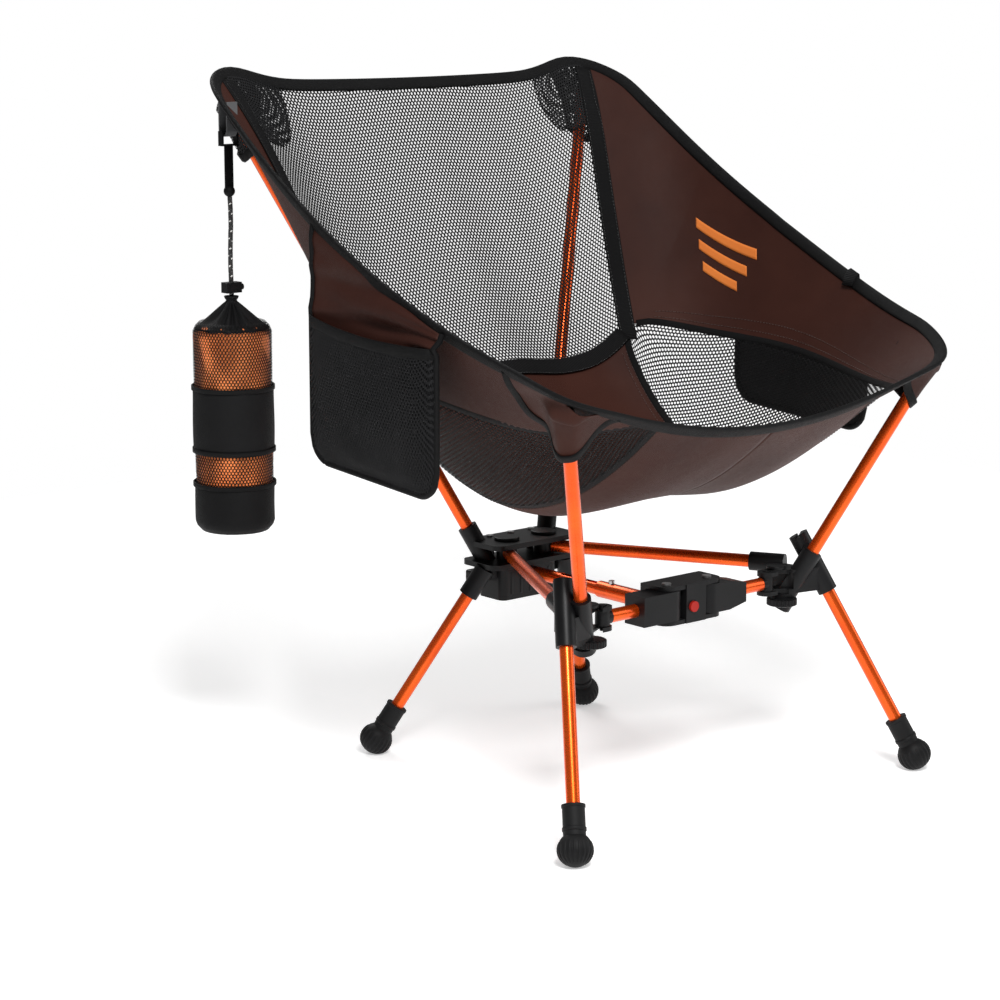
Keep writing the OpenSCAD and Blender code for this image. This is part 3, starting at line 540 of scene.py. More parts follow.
def outward(u, v):
    e = 0.004
    a, b = min(max(u, -1 + e), 1 - e), min(max(v, e), 1 - e)
    run = plainPoint(a, b + e) - plainPoint(a, b - e)
    across = plainPoint(a + e, b) - plainPoint(a - e, b)
    return run.cross(across).normalized()


def softFold(u, v):
    edge = smoothStep(1.0, 0.8, abs(u)) * smoothStep(0, 0.1, v) * smoothStep(1, 0.86, v)
    slow = noise.noise(Vector((u * 2.3 + 4, v * 3.1, 2.7)))
    quick = noise.noise(Vector((u * 6.1, v * 2.6 + 9, 5.1)))
    return edge * (0.0035 * slow + 0.0016 * quick)


def clothPoint(u, v, out=0.0):
    return slingPoint(u, v) + outward(u, v) * (out + softFold(u, v))


def leaf(v):
    return math.sqrt(max(math.sin(math.pi * v / sling["bandV"]), 0))


def backU(v):
    return sling["sideU"] + 0.31 * (v - sling["bandV"]) / (1 - sling["bandV"])


def seamU(v):
    return sling["sideU"] + 0.242 * leaf(v)


def seatU(v):
    return sling["sideU"] - 0.085 * leaf(v)


def sideU(v):
    return backU(v) if v > sling["bandV"] else seamU(v)


def ridesWithFold(piece):
    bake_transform(piece)
    return piece


def slingPanel(name, lowU, highU, lowV, highV, counts, material, out=0.0, thick=0.0008,
               side=0, stands=()):
    def place(i, j):
        v = mix(lowV, highV, j)
        u = mix(lowU(v), highU(v), i)
        return clothPoint(u * (side or 1), v, out)
    piece = gridPiece(name, place, counts[0], counts[1], material, thick)
    if stands:
        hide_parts(*stands)
    return piece


sideNames = {1: "left", -1: "right"}
bandV = sling["bandV"]


def flatArea(lowU, highU, lowV, highV):
    area, cuts = 0.0, 24
    for j in range(cuts):
        for i in range(cuts):
            v0, v1 = mix(lowV, highV, j / cuts), mix(lowV, highV, (j + 1) / cuts)
            a = slingPoint(mix(lowU(v0), highU(v0), i / cuts), v0)
            b = slingPoint(mix(lowU(v0), highU(v0), (i + 1) / cuts), v0)
            c = slingPoint(mix(lowU(v1), highU(v1), i / cuts), v1)
            area += (b - a).cross(c - a).length
    return area


# ---------- panels ----------
backNet = slingPanel("backNet", lambda v: -backU(v), backU, bandV, 0.997, (44, 34), openNet,
                     stands=("back_mesh",))
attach(backNet, "base")
flatArea(lambda v: -backU(v), backU, bandV, 1)
for side in (1, -1):
    name = sideNames[side]
    seat = slingPanel("seatCloth_" + name, lambda v: 0.0, seatU, 0.004, bandV, (26, 48),
                      brownCloth, side=side,
                      stands=("seat_panel",) if side > 0 else ())
    wing = slingPanel("sideCloth_" + name, sideU, lambda v: 0.998, 0.003, 0.998, (26, 92),
                      brownCloth, side=side, stands=("side_panel_" + name,))
    net = slingPanel("seatNet_" + name, seatU, seamU, 0.012, bandV - 0.004, (20, 44), openNet,
                     side=side, stands=("seat_mesh_" + name,))
    for piece in (seat, wing, net):
        ridesWithFold(piece)
    flatArea(lambda v: 0.0, seatU, 0, bandV)
    flatArea(sideU, lambda v: 1.0, 0, 1)
    flatArea(seatU, seamU, 0.012, bandV)
print("panels made")


# ---------- bands and seams ----------
def lineOnSling(uOf, lowV, highV, count, out=0.0):
    return [(uOf(v), v, out) for v in (mix(lowV, highV, k / count) for k in range(count + 1))]


# A strap sewn over the sling: its middle line is a list of (u, v, out)
def strapOnSling(name, line, halfWidth, thin, material):
    points = [clothPoint(u, v, out) for u, v, out in line]
    frames = []
    for k, p in enumerate(points):
        run = (points[min(k + 1, len(points) - 1)] - points[max(k - 1, 0)]).normalized()
        face = outward(line[k][0], line[k][1])
        wide = run.cross(face).normalized()
        frames.append((p, wide, face))
    return sweepPiece(name, frames, flatRing(halfWidth, thin), material)


# Short raised stitches along a line on the sling, in one mesh
def stitchRow(name, lines, material, step=0.0038, length=0.0026, radius=0.00032):
    points, faces, uvs = [], [], []
    for line in lines:
        spots = [(clothPoint(u, v, out), outward(u, v)) for u, v, out in line]
        travelled, target = 0.0, step / 2
        for k in range(len(spots) - 1):
            a, b = spots[k][0], spots[k + 1][0]
            gap = (b - a).length
            while travelled + gap >= target and gap > 0:
                t = (target - travelled) / gap
                centre, face = a.lerp(b, t), spots[k][1]
                run = (b - a).normalized()
                wide = run.cross(face).normalized()
                base = len(points)
                for end, lift in ((-1, 0.2), (-0.5, 1), (0.5, 1), (1, 0.2)):
                    middle = centre + run * (end * length / 2)
                    for c in range(4):
                        angle = math.pi * c / 2
                        points.append(middle + wide * (radius * math.cos(angle))
                                      + face * (radius * math.sin(angle) * lift))
                        uvs.append((c * 0.001, end * 0.001))
                for ring in range(3):
                    for c in range(4):
                        d = (c + 1) % 4
                        at = base + ring * 4
                        faces.append((at + c, at + d, at + 4 + d, at + 4 + c))
                faces.append((base + 3, base + 2, base + 1, base))
                faces.append((base + 12, base + 13, base + 14, base + 15))
                target += step
            travelled += gap
    return meshPiece(name, points, faces, uvs, material)


# Rows beside a seam, each moved sideways by a share of the sling's half width
def rowsBeside(uOf, side, shifts, lowV, highV, count, out):
    return [lineOnSling(lambda v, s=shift: side * (uOf(v) + s), lowV, highV, count, out)
            for shift in shifts]


bands = {"halfWidth": 0.0085, "thin": 0.0007, "inside": -0.0016}
for side in (1, -1):
    name = sideNames[side]
    line = lineOnSling(lambda v: side * backU(v), bandV - 0.012, 0.985, 30, bands["inside"])
    band = strapOnSling("backBand_" + name, line, bands["halfWidth"], bands["thin"], blackWebbing)
    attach(band, "base")
    if side > 0:
        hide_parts("webbing_bands")
    rows = rowsBeside(backU, side, (-0.027, 0.027), bandV - 0.008, 0.98, 40,
                      bands["inside"] - 0.0008)
    seam = stitchRow("backBandStitch_" + name, rows, threadBlack)
    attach(seam, "base")
    rows = []
    for uOf, shifts, out in ((seatU, (-0.014, -0.03), -0.0006), (seamU, (0.014, 0.03), -0.0006),
                             (seatU, (-0.014,), 0.0006)):
        rows += rowsBeside(uOf, side, shifts, 0.02, bandV - 0.02, 60, out)
    sewn = stitchRow("seatStitch_" + name, rows, threadBrown)
    ridesWithFold(sewn)
    for label, uOf in (("seat", seatU), ("seam", seamU)):
        piping = strapOnSling(label + "Edge_" + name,
                              lineOnSling(lambda v: side * uOf(v), 0.01, bandV - 0.005, 50, -0.0004),
                              0.0034, 0.0008, bindingTape)
        ridesWithFold(piping)
line = [(mix(-0.60, 0.60, k / 40), bandV, bands["inside"] - 0.0016) for k in range(41)]
lowBand = strapOnSling("lowerBand", line, bands["halfWidth"], bands["thin"], blackWebbing)
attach(lowBand, "base")
rows = [[(u, bandV + shift, bands["inside"] - 0.0024) for u, v, o in line]
        for shift in (-0.0105, 0.0105)]
lowSeam = stitchRow("lowerBandStitch", rows, threadBlack)
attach(lowSeam, "base")
print("bands sewn")

# ---------- bound edge ----------
binding = {"halfWidth": 0.0062, "thin": 0.0024, "inset": 0.0028}


def rimSpot(t, side):
    if t < 0.2:
        return side * t / 0.2, 0.0
    if t < 0.8:
        return side * 1.0, (t - 0.2) / 0.6
    return side * (1 - t) / 0.2, 1.0


def rimFrames(side, count=150):
    points = [slingPoint(*rimSpot(t / count, side)) for t in range(count + 1)]
    smooth = [points[0]] + [(points[k - 1] + points[k] * 2 + points[k + 1]) / 4
                            for k in range(1, count)] + [points[-1]]
    frames = []
    for k, p in enumerate(smooth):
        u, v = rimSpot(k / count, side)
        run = (smooth[min(k + 1, count)] - smooth[max(k - 1, 0)]).normalized()
        if k in (0, count):
            run = Vector((run.x, 0, 0)).normalized()
        inner = clothPoint(u * 0.96, min(max(v, 0.03), 0.97)) - p
        wide = (inner - run * inner.dot(run)).normalized()
        frames.append((p + wide * binding["inset"], wide, run.cross(wide)))
    return frames


def tapeRing(wide, thin):
    ring = []
    for k in range(16):
        a = 2 * math.pi * k / 16
        c, s = math.cos(a), math.sin(a)
        ring.append((wide * math.copysign(abs(c) ** 0.7, c), thin * math.copysign(abs(s) ** 0.6, s)))
    return ring


for side in (1, -1):
    name = sideNames[side]
    frames = rimFrames(side)
    tape = sweepPiece("edgeTape_" + name, frames, tapeRing(binding["halfWidth"], binding["thin"]),
                      bindingTape, capped=False)
    if side > 0:
        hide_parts("rim_binding")
    ridesWithFold(tape)
print("edge bound")


# ---------- corner pockets ----------
cornerPockets = {"reach": 0.047, "room": 0.0092, "spread": 0.012}


def cornerTip(side, rear):
    u, v = (0.94, 0.965) if rear else (0.93, 0.045)
    return plainPoint(side * u, v) + outward(side * u, v) * 0.00965


def poleFoot(side, rear):
    return Vector((side * 0.0315, 0.0865, 0.172) if rear else (side * 0.128, -0.1475, 0.163))


# A patch over the corner that rises round the pole, with an arc for its open hem
def cornerPocket(name, side, rear, material):
    tip = cornerTip(side, rear)
    toFoot = (poleFoot(side, rear) - tip).normalized()
    size = alongSize[rear]

    def place(i, j):
        angle = math.pi / 2 * i
        radius = cornerPockets["reach"] * mix(0.03, 1.0, j) * (1 + 0.16 * math.sin(2 * angle))
        a, b = radius * math.cos(angle), radius * math.sin(angle)
        u = 0.992 - a / acrossSize
        v = 0.992 - b / size if rear else 0.008 + b / size
        p = clothPoint(side * u, v)
        n = outward(side * u, v)
        along = max((p - tip).dot(toFoot), -0.003)
        gap = tip + toFoot * along - p
        height = gap.dot(n)
        aside = (gap - n * height).length
        hill = math.exp(-(max(aside - 0.0075, 0) / cornerPockets["spread"]) ** 2)
        ends = smoothStep(-0.016, -0.004, (p - tip).dot(toFoot))
        top = (height + cornerPockets["room"]) * hill * ends
        ripple = 0.0006 * math.sin(26 * i + 3) * smoothStep(0.3, 1, j)
        return p + n * (0.0012 + max(top, 0) + ripple)
    piece = gridPiece(name, place, 60, 40, material, 0.0009)
    return piece, place


def hemAlong(name, place, faceOf, material, halfWidth=0.0042, thin=0.0011, count=60, j=1.0):
    points = [place(k / count, j) for k in range(count + 1)]
    inner = [place(k / count, j - 0.08) for k in range(count + 1)]
    frames = []
    for k, p in enumerate(points):
        run = (points[min(k + 1, count)] - points[max(k - 1, 0)]).normalized()
        face = faceOf(k / count, j)
        wide = inner[k] - p
        wide = (wide - face * wide.dot(face) * 0.85)
        wide = (wide - run * wide.dot(run)).normalized()
        frames.append((p + wide * halfWidth * 0.3 + face * 0.0006, wide, run.cross(wide)))
    return sweepPiece(name, frames, flatRing(halfWidth, thin), material)


for side in (1, -1):
    name = sideNames[side]
    for rear in (True, False):
        label = ("rear" if rear else "front") + "Pocket_" + name
        pocket, place = cornerPocket(label, side, rear, doubleNet if rear else brownCloth)
        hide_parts(("rear" if rear else "front") + "_pocket_" + name)
        flatFace = outward(side * 0.86, 0.93 if rear else 0.08)
        hem = hemAlong(label + "Hem", place, lambda i, j: flatFace, bindingTape)
        for piece in (pocket, hem):
            if rear:
                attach(piece, "base")
            else:
                ridesWithFold(piece)
print("corner pockets made")

# ---------- net doubling at the rear corners ----------
cornerPatch = {"across": 0.24, "down": 0.085, "top": 0.992, "gap": -0.0016}
for side in (1, -1):
    def patchPlace(i, j, side=side):
        angle = i * math.pi / 2
        v = cornerPatch["top"] - cornerPatch["down"] * j * math.sin(angle)
        u = backU(v) - cornerPatch["across"] * j * math.cos(angle)
        return clothPoint(u * side, v, cornerPatch["gap"])
    patch = gridPiece("cornerPatch_" + sideNames[side], patchPlace, 18, 14, doubleNet, 0.0006)
    ridesWithFold(patch)
print("corner patches added")

# ---------- hanging side pockets ----------
sidePocket = {"front": -0.118, "width": 0.176, "x": 0.2735, "low": 0.308, "rise": 0.014,
              "mouth": 0.128, "room": 0.0115, "corner": 0.024, "lap": 0.008}


def sideAt(y):
    low, high = 0.0, 1.0
    for _ in range(20):
        half = (low + high) / 2
        if sideLine(half).y < y:
            low = half
        else:
            high = half
    return low


def pocketEdges(i):
    y = sidePocket["front"] + sidePocket["width"] * i
    low = sidePocket["low"] + sidePocket["rise"] * i
    corner = sidePocket["corner"]
    near = min(i, 1 - i) * sidePocket["width"]
    if near < corner:
        low += corner - math.sqrt(max(corner ** 2 - (corner - near) ** 2, 0))
    return y, low


def pocketMouth(i):
    return sidePocket["low"] + sidePocket["rise"] * i + sidePocket["mouth"]


def pocketBack(side, i, z, out=0.0):
    y, low = pocketEdges(i)
    top = sideLine(sideAt(y))
    mouth = pocketMouth(i)
    t = max(0.0, (z - mouth) / (top.z - mouth))
    x = mix(sidePocket["x"], top.x, t * t)
    loose = smoothStep(0, 0.25, t) * smoothStep(1, 0.75, t)
    crease = noise.noise(Vector((i * 3.2 + t * 4.5, t * 1.4 - i, 1.7)))
    ripple = loose * (0.0016 * math.sin(7 * i + 9 * t) + 0.0052 * crease)
    return Vector((side * (x + out + ripple), y, z))


for side in (1, -1):
    name = sideNames[side]

    def flapPlace(i, j):
        top = sideLine(sideAt(pocketEdges(i)[0])).z - 0.003
        return pocketBack(side, i, mix(pocketMouth(i) - sidePocket["lap"], top, j))

    def wallPlace(i, j):
        low = pocketEdges(i)[1]
        return pocketBack(side, i, mix(low, pocketMouth(i) - sidePocket["lap"], j))

    def bagPlace(i, j):
        z = mix(pocketEdges(i)[1], pocketMouth(i), j)
        bulge = math.sin(math.pi * i) ** 0.45 * (0.25 + 0.75 * math.sin(math.pi * min(j * 0.62, 0.5)))
        foot = smoothStep(0, 0.12, j)
        sag = 0.004 * math.sin(math.pi * i) * j ** 3
        dent = 0.0012 * noise.noise(Vector((i * 5, j * 5, 3.3 * side)))
        out = 0.0012 + sidePocket["room"] * bulge * foot + dent * math.sin(math.pi * i)
        p = pocketBack(side, i, z, out)
        return p - Vector((0, 0, sag))

    flap = gridPiece("pocketFlap_" + name, flapPlace, 30, 22, brownCloth, 0.0009)
    wall = gridPiece("pocketWall_" + name, wallPlace, 30, 22, blackCloth, 0.0009)
    bag = gridPiece("pocketBag_" + name, bagPlace, 36, 30, doubleNet, 0.0008)
    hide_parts("organiser_" + name)
    count = 60
    loopPoints = [pocketBack(side, k / count, pocketEdges(k / count)[1]) for k in range(1, count)]
    uprights = []
    for i in (0.0, 1.0):
        y, low = pocketEdges(i)
        top = sideLine(sideAt(y)).z - 0.002
        uprights.append([pocketBack(side, i, mix(low, top, k / 20)) for k in range(21)])
    loopPoints = uprights[0][::-1] + loopPoints + uprights[1]
    rimTape = sweepPiece("pocketTape_" + name, framesAlong(loopPoints, (0.02, 1, 0.3)),
                         roundRing(0.0026, 8), bindingTape)
    mouthPoints = [bagPlace(k / 36, 1.0) for k in range(37)]
    mouthTape = sweepPiece("pocketMouth_" + name, framesAlong(mouthPoints, (0, 0, 1)),
                           flatRing(0.0046, 0.0010), bindingTape)
    for piece in (flap, wall, bag, rimTape, mouthTape):
        ridesWithFold(piece)
print("side pockets hung")

# ---------- pouch ----------
bagLow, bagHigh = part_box("pouch_bag")
pouch = {"x": (bagLow.x + bagHigh.x) / 2, "y": (bagLow.y + bagHigh.y) / 2, "low": 0.226,
         "radius": 0.039, "cupTop": 0.273, "bandLow": 0.306, "bandTop": 0.366,
         "shoulder": 0.420, "neckZ": 0.4475, "neckR": 0.0055}
pouchAxis = Vector((pouch["x"], pouch["y"], 0))


def turnedPiece(name, profile, material, around=72, wobble=None, thickness=0.0):
    run = [0.0]
    for k in range(1, len(profile)):
        run.append(run[-1] + math.dist(profile[k], profile[k - 1]))
    points, uvs, faces = [], [], []
    for k, (r, z) in enumerate(profile):
        for a in range(around + 1):
            angle = 2 * math.pi * a / around
            extra = wobble(angle, z, k) if wobble else 0.0
            rr = max(r + extra, 0.0001)
            points.append(pouchAxis + Vector((rr * math.cos(angle), rr * math.sin(angle), z)))
            uvs.append((angle * pouch["radius"], run[k]))
    width = around + 1
    for k in range(len(profile) - 1):
        for a in range(around):
            faces.append((k * width + a, k * width + a + 1, (k + 1) * width + a + 1,
                          (k + 1) * width + a))
    piece = meshPiece(name, points, faces, uvs, material)
    activate(piece)
    bpy.ops.object.mode_set(mode="EDIT")
    bpy.ops.mesh.select_all(action="SELECT")
    bpy.ops.mesh.remove_doubles(threshold=0.00001)
    bpy.ops.mesh.normals_make_consistent(inside=False)
    bpy.ops.object.mode_set(mode="OBJECT")
    if thickness:
        solidify(piece, thickness)
    return piece


def pouchDent(angle, z, k):
    p = Vector((math.cos(angle) * 1.6, math.sin(angle) * 1.6, z * 22))
    return 0.0010 * noise.noise(p) - 0.0006


def rollDent(angle, z, k):
    p = Vector((math.cos(angle) * 2.2, math.sin(angle) * 2.2, z * 30))
    return 0.0016 * noise.noise(p)


r = pouch["radius"]
rollProfile = [(0.0, pouch["low"] + 0.004), (r - 0.012, pouch["low"] + 0.004),
               (r - 0.006, pouch["low"] + 0.007), (r - 0.003, pouch["low"] + 0.012)]
rollProfile += [(r - 0.0027, mix(pouch["low"] + 0.014, pouch["shoulder"] - 0.004, k / 40))
                for k in range(41)]
rollProfile += [(r - 0.004, pouch["shoulder"] + 0.001), (r - 0.009, pouch["shoulder"] + 0.005),
                (r - 0.018, pouch["shoulder"] + 0.007), (0.0, pouch["shoulder"] + 0.008)]
roll = turnedPiece("pillowRoll", rollProfile, pillowCloth, wobble=rollDent)
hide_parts("pillow")
netProfile = [(r - 0.0012, mix(pouch["cupTop"] - 0.004, pouch["shoulder"], k / 40))
              for k in range(41)]
netProfile += [(r - 0.0035, pouch["shoulder"] + 0.005), (r - 0.0075, pouch["shoulder"] + 0.009)]
netShell = turnedPiece("pouchNetShell", netProfile, pouchNet, wobble=pouchDent, thickness=0.0005)
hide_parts("pouch_bag")
cupProfile = [(0.0, pouch["low"] + 0.0012), (r - 0.014, pouch["low"] + 0.0010),
              (r - 0.006, pouch["low"] + 0.0022), (r - 0.0018, pouch["low"] + 0.007)]
cupProfile += [(r - 0.0004, mix(pouch["low"] + 0.011, pouch["cupTop"], k / 10)) for k in range(11)]
cup = turnedPiece("pouchCup", cupProfile, blackCloth, wobble=pouchDent, thickness=0.0008)
bandProfile = [(r - 0.0002, mix(pouch["bandLow"], pouch["bandTop"], k / 14)) for k in range(15)]
bandPiece = turnedPiece("pouchBand", bandProfile, blackCloth, wobble=pouchDent, thickness=0.0009)


def pleats(angle, z, k):
    t = (z - pouch["shoulder"]) / (pouch["neckZ"] - pouch["shoulder"])
    depth = 0.0026 * math.sin(math.pi * min(max(t, 0), 1)) ** 0.7
    return depth * math.cos(13 * angle + 2.2 * math.sin(3 * angle)) - depth * 0.5


coneProfile = []
for k in range(23):
    t = k / 22
    z = mix(pouch["shoulder"] + 0.002, pouch["neckZ"], t)
    coneProfile.append((mix(r - 0.003, pouch["neckR"], t ** 0.86), z))
coneProfile += [(pouch["neckR"] - 0.0008, pouch["neckZ"] + 0.0015),
                (pouch["neckR"] + 0.0006, pouch["neckZ"] + 0.0035),
                (pouch["neckR"] + 0.0012, pouch["neckZ"] + 0.0055)]
cone = turnedPiece("pouchNeck", coneProfile, blackCloth, around=130, wobble=pleats,
                   thickness=0.0008)
for piece in (roll, netShell, cup, bandPiece, cone):
    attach(piece, "pouch")

# Seams where the cup and the band meet the net
for label, z in (("Cup", pouch["cupTop"]), ("BandLow", pouch["bandLow"]),
                 ("BandTop", pouch["bandTop"])):
    ringFrames = []
    for a in range(60):
        out = Vector((math.cos(2 * math.pi * a / 60), math.sin(2 * math.pi * a / 60), 0))
        ringFrames.append((pouchAxis + Vector((0, 0, z)) + out * (r + 0.0001),
                           Vector((0, 0, 1)), out))
    trim = sweepPiece("pouchTrim" + label, ringFrames, flatRing(0.0022, 0.0008), bindingTape,
                      closed=True)
    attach(trim, "pouch")
print("pouch made")

# ---------- feet ----------
feet = {"ball": 0.0155, "ribs": 22, "ribWidth": 0.0026, "ribHeight": 0.0008,
        "sleeveRadius": 0.01005}
legLines = {"front": (Vector((0.221, -0.239, 0.0149)), Vector((0.1515, -0.1455, 0.226))),
            "rear": (Vector((0.138, 0.142, 0.0149)), Vector((0.0523, 0.07775, 0.184)))}


# Directions evenly round an axis
def spokes(axis, count):
    wide = axis.orthogonal().normalized()
    other = axis.cross(wide)
    turns = [2 * math.pi * k / count for k in range(count)]
    return [wide * math.cos(turn) + other * math.sin(turn) for turn in turns]


# A row of small bars over part of a ball, each from one slope to another
def ballRibs(points, faces, centre, axis, low, high):
    for out in spokes(axis, feet["ribs"]):
        across = axis.cross(out).normalized()
        base = len(points)
        steps = 8
        for t in range(steps + 1):
            slope = mix(low, high, t / steps)
            ray = out * math.cos(slope) + axis * math.sin(slope)
            proud = feet["ribHeight"] * math.sin(math.pi * mix(0.12, 0.88, t / steps))
            for shift, lift in ((-1, -0.0003), (-0.7, proud), (0.7, proud), (1, -0.0003)):
                points.append(centre + ray * (feet["ball"] + lift)
                              + across * shift * feet["ribWidth"] / 2)
        for t in range(steps):
            for c in range(3):
                at = base + t * 4 + c
                faces.append((at, at + 1, at + 5, at + 4))


for end in ("front", "rear"):
    for side in (1, -1):
        name = end + "_" + sideNames[side]
        flip = Vector((side, 1, 1))
        foot, top = legLines[end][0] * flip, legLines[end][1] * flip
        axis = (top - foot).normalized()
        points, faces = [], []
        ballRibs(points, faces, foot, axis, -0.95, 0.42)
        points = [Vector((p.x, p.y, max(p.z, 0.0002))) for p in points]
        ribs = meshPiece("footRibs_" + name, points, faces, None, softPlastic)
        pieces = [ribs]
        for label, at, half, proud in (("low", 0.0175, 0.0016, 0.0007),
                                       ("top", 0.0378, 0.0014, 0.0006)):
            frames = [(foot + axis * at + out * feet["sleeveRadius"], axis, out)
                      for out in spokes(axis, 36)]
            pieces.append(sweepPiece("footCollar_" + label + "_" + name, frames,
                                     flatRing(half, proud), softPlastic, closed=True))
        for piece in pieces:
            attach(piece, "leg_" + name)
print("feet detailed")

# ---------- hub detail ----------
hubDetail = {"knobRadius": 0.0145, "knobThick": 0.0075, "teeth": 24, "knobAt": (0.124, -0.152, 0.1655)}


# A round knob with a toothed rim, built from two rings of points and its two faces
def toothedKnob(name, centre, axis, material):
    points, faces = [], []
    radius, thick, count = hubDetail["knobRadius"], hubDetail["knobThick"], hubDetail["teeth"] * 4
    levels = ((-0.5, 0.86), (-0.38, 1.0), (0.38, 1.0), (0.5, 0.86))
    for height, share in levels:
        for k, out in enumerate(spokes(axis, count)):
            tooth = 1.0 if k % 4 in (0, 1) else 0.93
            points.append(centre + axis * thick * height + out * radius * share * tooth)
    for level in range(3):
        for k in range(count):
            m = (k + 1) % count
            a, b = level * count, (level + 1) * count
            faces.append((a + k, a + m, b + m, b + k))
    faces.append(tuple(reversed(range(count))))
    faces.append(tuple(3 * count + k for k in range(count)))
    piece = meshPiece(name, points, faces, None, material)
    piece.data.polygons.foreach_set("use_smooth", [False] * len(piece.data.polygons))
    return piece


# Names, places, bevels and paints the shape that was just added
def roundedPiece(name, place, bevel, material):
    piece = bpy.context.object
    piece.name = name
    piece.data.transform(Matrix.Translation(place))
    soft = piece.modifiers.new("edge", "BEVEL")
    soft.width = bevel
    soft.segments = 2
    soft.limit_method = "ANGLE"
    bpy.ops.object.modifier_apply(modifier="edge")
    paint(piece, material)
    return piece


def boxPiece(name, size, place, bevel, material):
    clearSelection()
    bpy.ops.mesh.primitive_cube_add(size=1)
    bpy.context.object.data.transform(Matrix.Diagonal((*size, 1)))
    return roundedPiece(name, place, bevel, material)


def discPiece(name, radius, thick, place, bevel, material):
    clearSelection()
    bpy.ops.mesh.primitive_cylinder_add(vertices=40, radius=radius, depth=thick)
    return roundedPiece(name, place, bevel, material)


for side in (1, -1):
    name = sideNames[side]
    flip = Vector((side, 1, 1))
    knob = toothedKnob("hubKnob_" + name, Vector(hubDetail["knobAt"]) * flip, Vector((0, 0, 1)),
                       blackPlastic)
    cap = discPiece("hubCap_" + name, 0.0095, 0.003, Vector((0.1215, -0.146, 0.1985)) * flip, 0.0008,
                    blackPlastic)
    for piece in (knob, cap):
        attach(piece, "arm_" + name)
    boss = discPiece("pivotBoss_" + name, 0.0125, 0.0034, Vector((0.024, 0.078, 0.2105)) * flip,
                     0.0009, blackPlastic)
    foot = discPiece("pivotFoot_" + name, 0.012, 0.0034, Vector((0.024, 0.078, 0.1830)) * flip,
                     0.0009, blackPlastic)
    lug = boxPiece("hubLug_" + name, (0.012, 0.020, 0.012), Vector((0.047, 0.097, 0.1725)) * flip,
                   0.002, blackPlastic)
    for piece in (boss, foot, lug):
        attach(piece, "base")
for k in range(5):
    rib = boxPiece("hubRib_" + str(k), (0.0028, 0.0022, 0.022),
                   Vector((-0.024 + k * 0.012, 0.0705, 0.166)), 0.0007, blackPlastic)
    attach(rib, "base")
print("hubs detailed")

# ---------- print and tab ----------
printBars = {"low": 0.855, "step": 0.026, "thick": 0.0135, "from": 0.668, "to": 0.525, "climb": 0.034,
             "slant": 0.05}
for k, (start, end) in enumerate(((0.30, 0.86), (0.14, 0.93), (0.0, 1.0))):
    def barPlace(i, j, k=k, start=start, end=end):
        along = mix(start, end, i) - j * printBars["slant"]
        u = printBars["low"] + k * printBars["step"] + along * printBars["climb"] + j * printBars["thick"]
        v = mix(printBars["from"], printBars["to"], along)
        return clothPoint(u, v, -0.0009)
    bar = gridPiece("printBar_" + str(k), barPlace, 40, 4, orangePrint, 0.0002)
    ridesWithFold(bar)
tabFrames = []
for k in range(9):
    t = k / 8
    v = 0.30
    edge = slingPoint(1, v)
    inner = (clothPoint(0.97, v) - edge).normalized()
    face = outward(0.99, v)
    turn = math.pi * (t - 0.5)
    at = edge + inner * (0.010 - 0.016 * math.cos(turn)) + face * 0.0042 * math.sin(turn)
    tabFrames.append(at)
tab = sweepPiece("rimTab", framesAlong(tabFrames, slingPoint(1, 0.31) - slingPoint(1, 0.29)),
                 flatRing(0.0065, 0.0008), blackWebbing)
ridesWithFold(tab)
print("print and tab added")

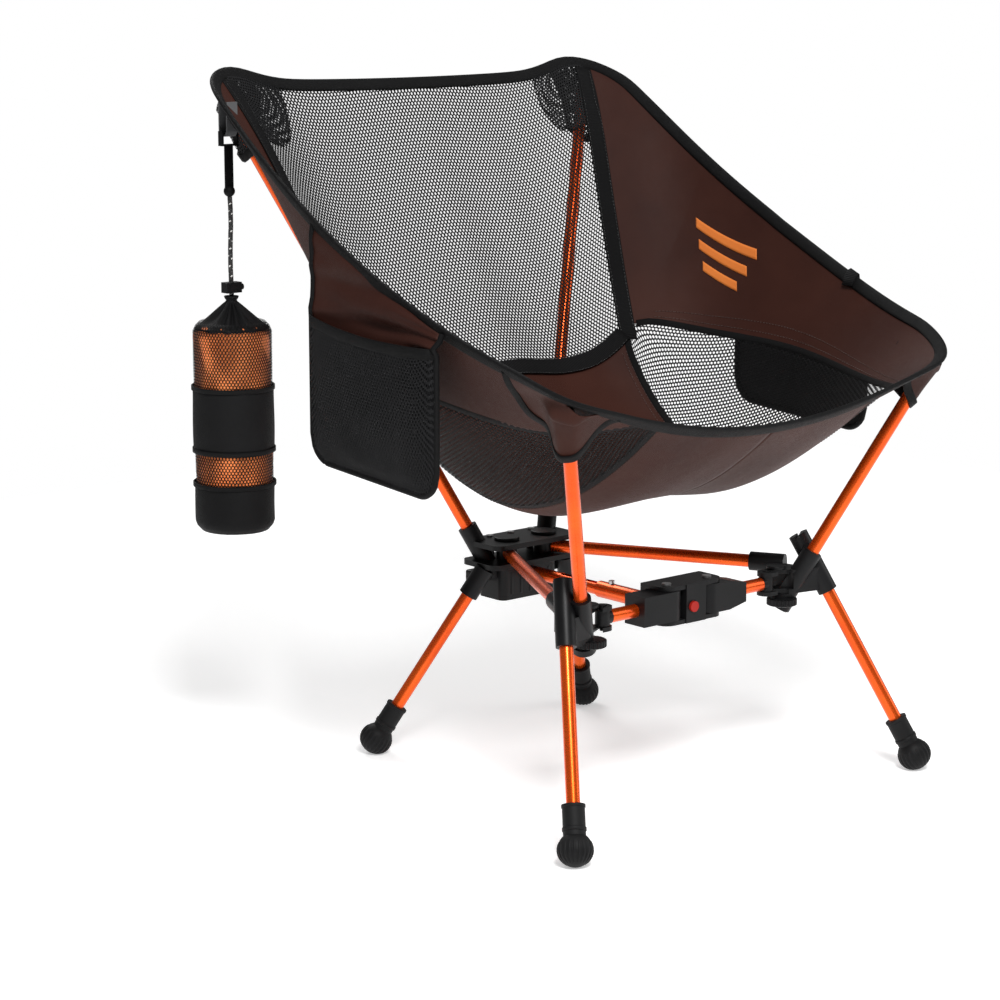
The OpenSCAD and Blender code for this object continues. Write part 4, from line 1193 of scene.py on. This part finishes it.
# ---------- floor and light ----------
stage = {"floor": 3.0, "white": (0.93, 0.93, 0.93), "soft": 0.24}
clearSelection()
bpy.ops.mesh.primitive_plane_add(size=stage["floor"], location=(0, 0, -0.0002))
floor = bpy.context.object
floor.name = "studioFloor"
floorMaterial, floorTree, floorShader = startMaterial("floorPaint")
floorShader.inputs["Base Color"].default_value = (*stage["white"], 1)
floorShader.inputs["Roughness"].default_value = 0.9
floorShader.inputs["Emission Color"].default_value = (1, 1, 1, 1)
floorShader.inputs["Emission Strength"].default_value = 0.4
paint(floor, floorMaterial)
world = bpy.data.worlds.new("studio")
bpy.context.scene.world = world
world.use_nodes = True
skyTree = world.node_tree
skyTree.nodes["Background"].inputs["Color"].default_value = (1, 1, 1, 1)
seen = addNode(skyTree, "ShaderNodeLightPath").outputs["Is Camera Ray"]
skyTree.links.new(rangeNode(skyTree, seen, stage["soft"], 1.0),
                  skyTree.nodes["Background"].inputs["Strength"])
lights = [("keyLight", (-1.2, -2.0, 2.7), 95, 0.9), ("fillLight", (2.6, -1.6, 1.5), 20, 1.8),
          ("rimLight", (0.6, 2.4, 2.4), 30, 1.4)]
for label, place, power, size in lights:
    toChair = (Vector((0, 0, 0.35)) - Vector(place)).to_track_quat("-Z", "Y").to_euler()
    bpy.ops.object.light_add(type="AREA", location=place, rotation=toChair)
    lamp = bpy.context.object
    lamp.name = label
    lamp.data.energy = power
    lamp.data.size = size
bpy.context.scene.view_settings.view_transform = "Standard"

# ---------- finishes of the frame's own parts ----------
finishes = [
    (orangeTube, ("rear_pole_left", "rear_pole_right", "front_pole_left", "front_pole_right",
                  "arm_tube", "leg_tube", "strut_outer", "strut_inner", "crossbar_tube")),
    (blackPlastic, ("rear_hub_body", "rear_hub_plate", "arm_knuckle", "front_hub", "knee_bracket",
                    "knee_arm", "crossbar_end", "cord_lock")),
    (softPlastic, ("foot", "rear_pole_tips", "front_pole_tip")),
    (steelMetal, ("rear_hub_screws", "arm_pivot_pins", "knee_pins", "snap_button")),
    (drawnMetal, ("rear_pole_ferrules",)),
    (threadBlack, ("rear_pole_cords",)),
    (redPlastic, ("lock_button",)),
    (greyWebbing, ("accessory_loop",)),
    (blackWebbing, ("pouch_strap",))]
for material, starts in finishes:
    for label, part in nodes.items():
        if label.startswith(starts):
            paint(part, material)
print("frame painted")

print("done")
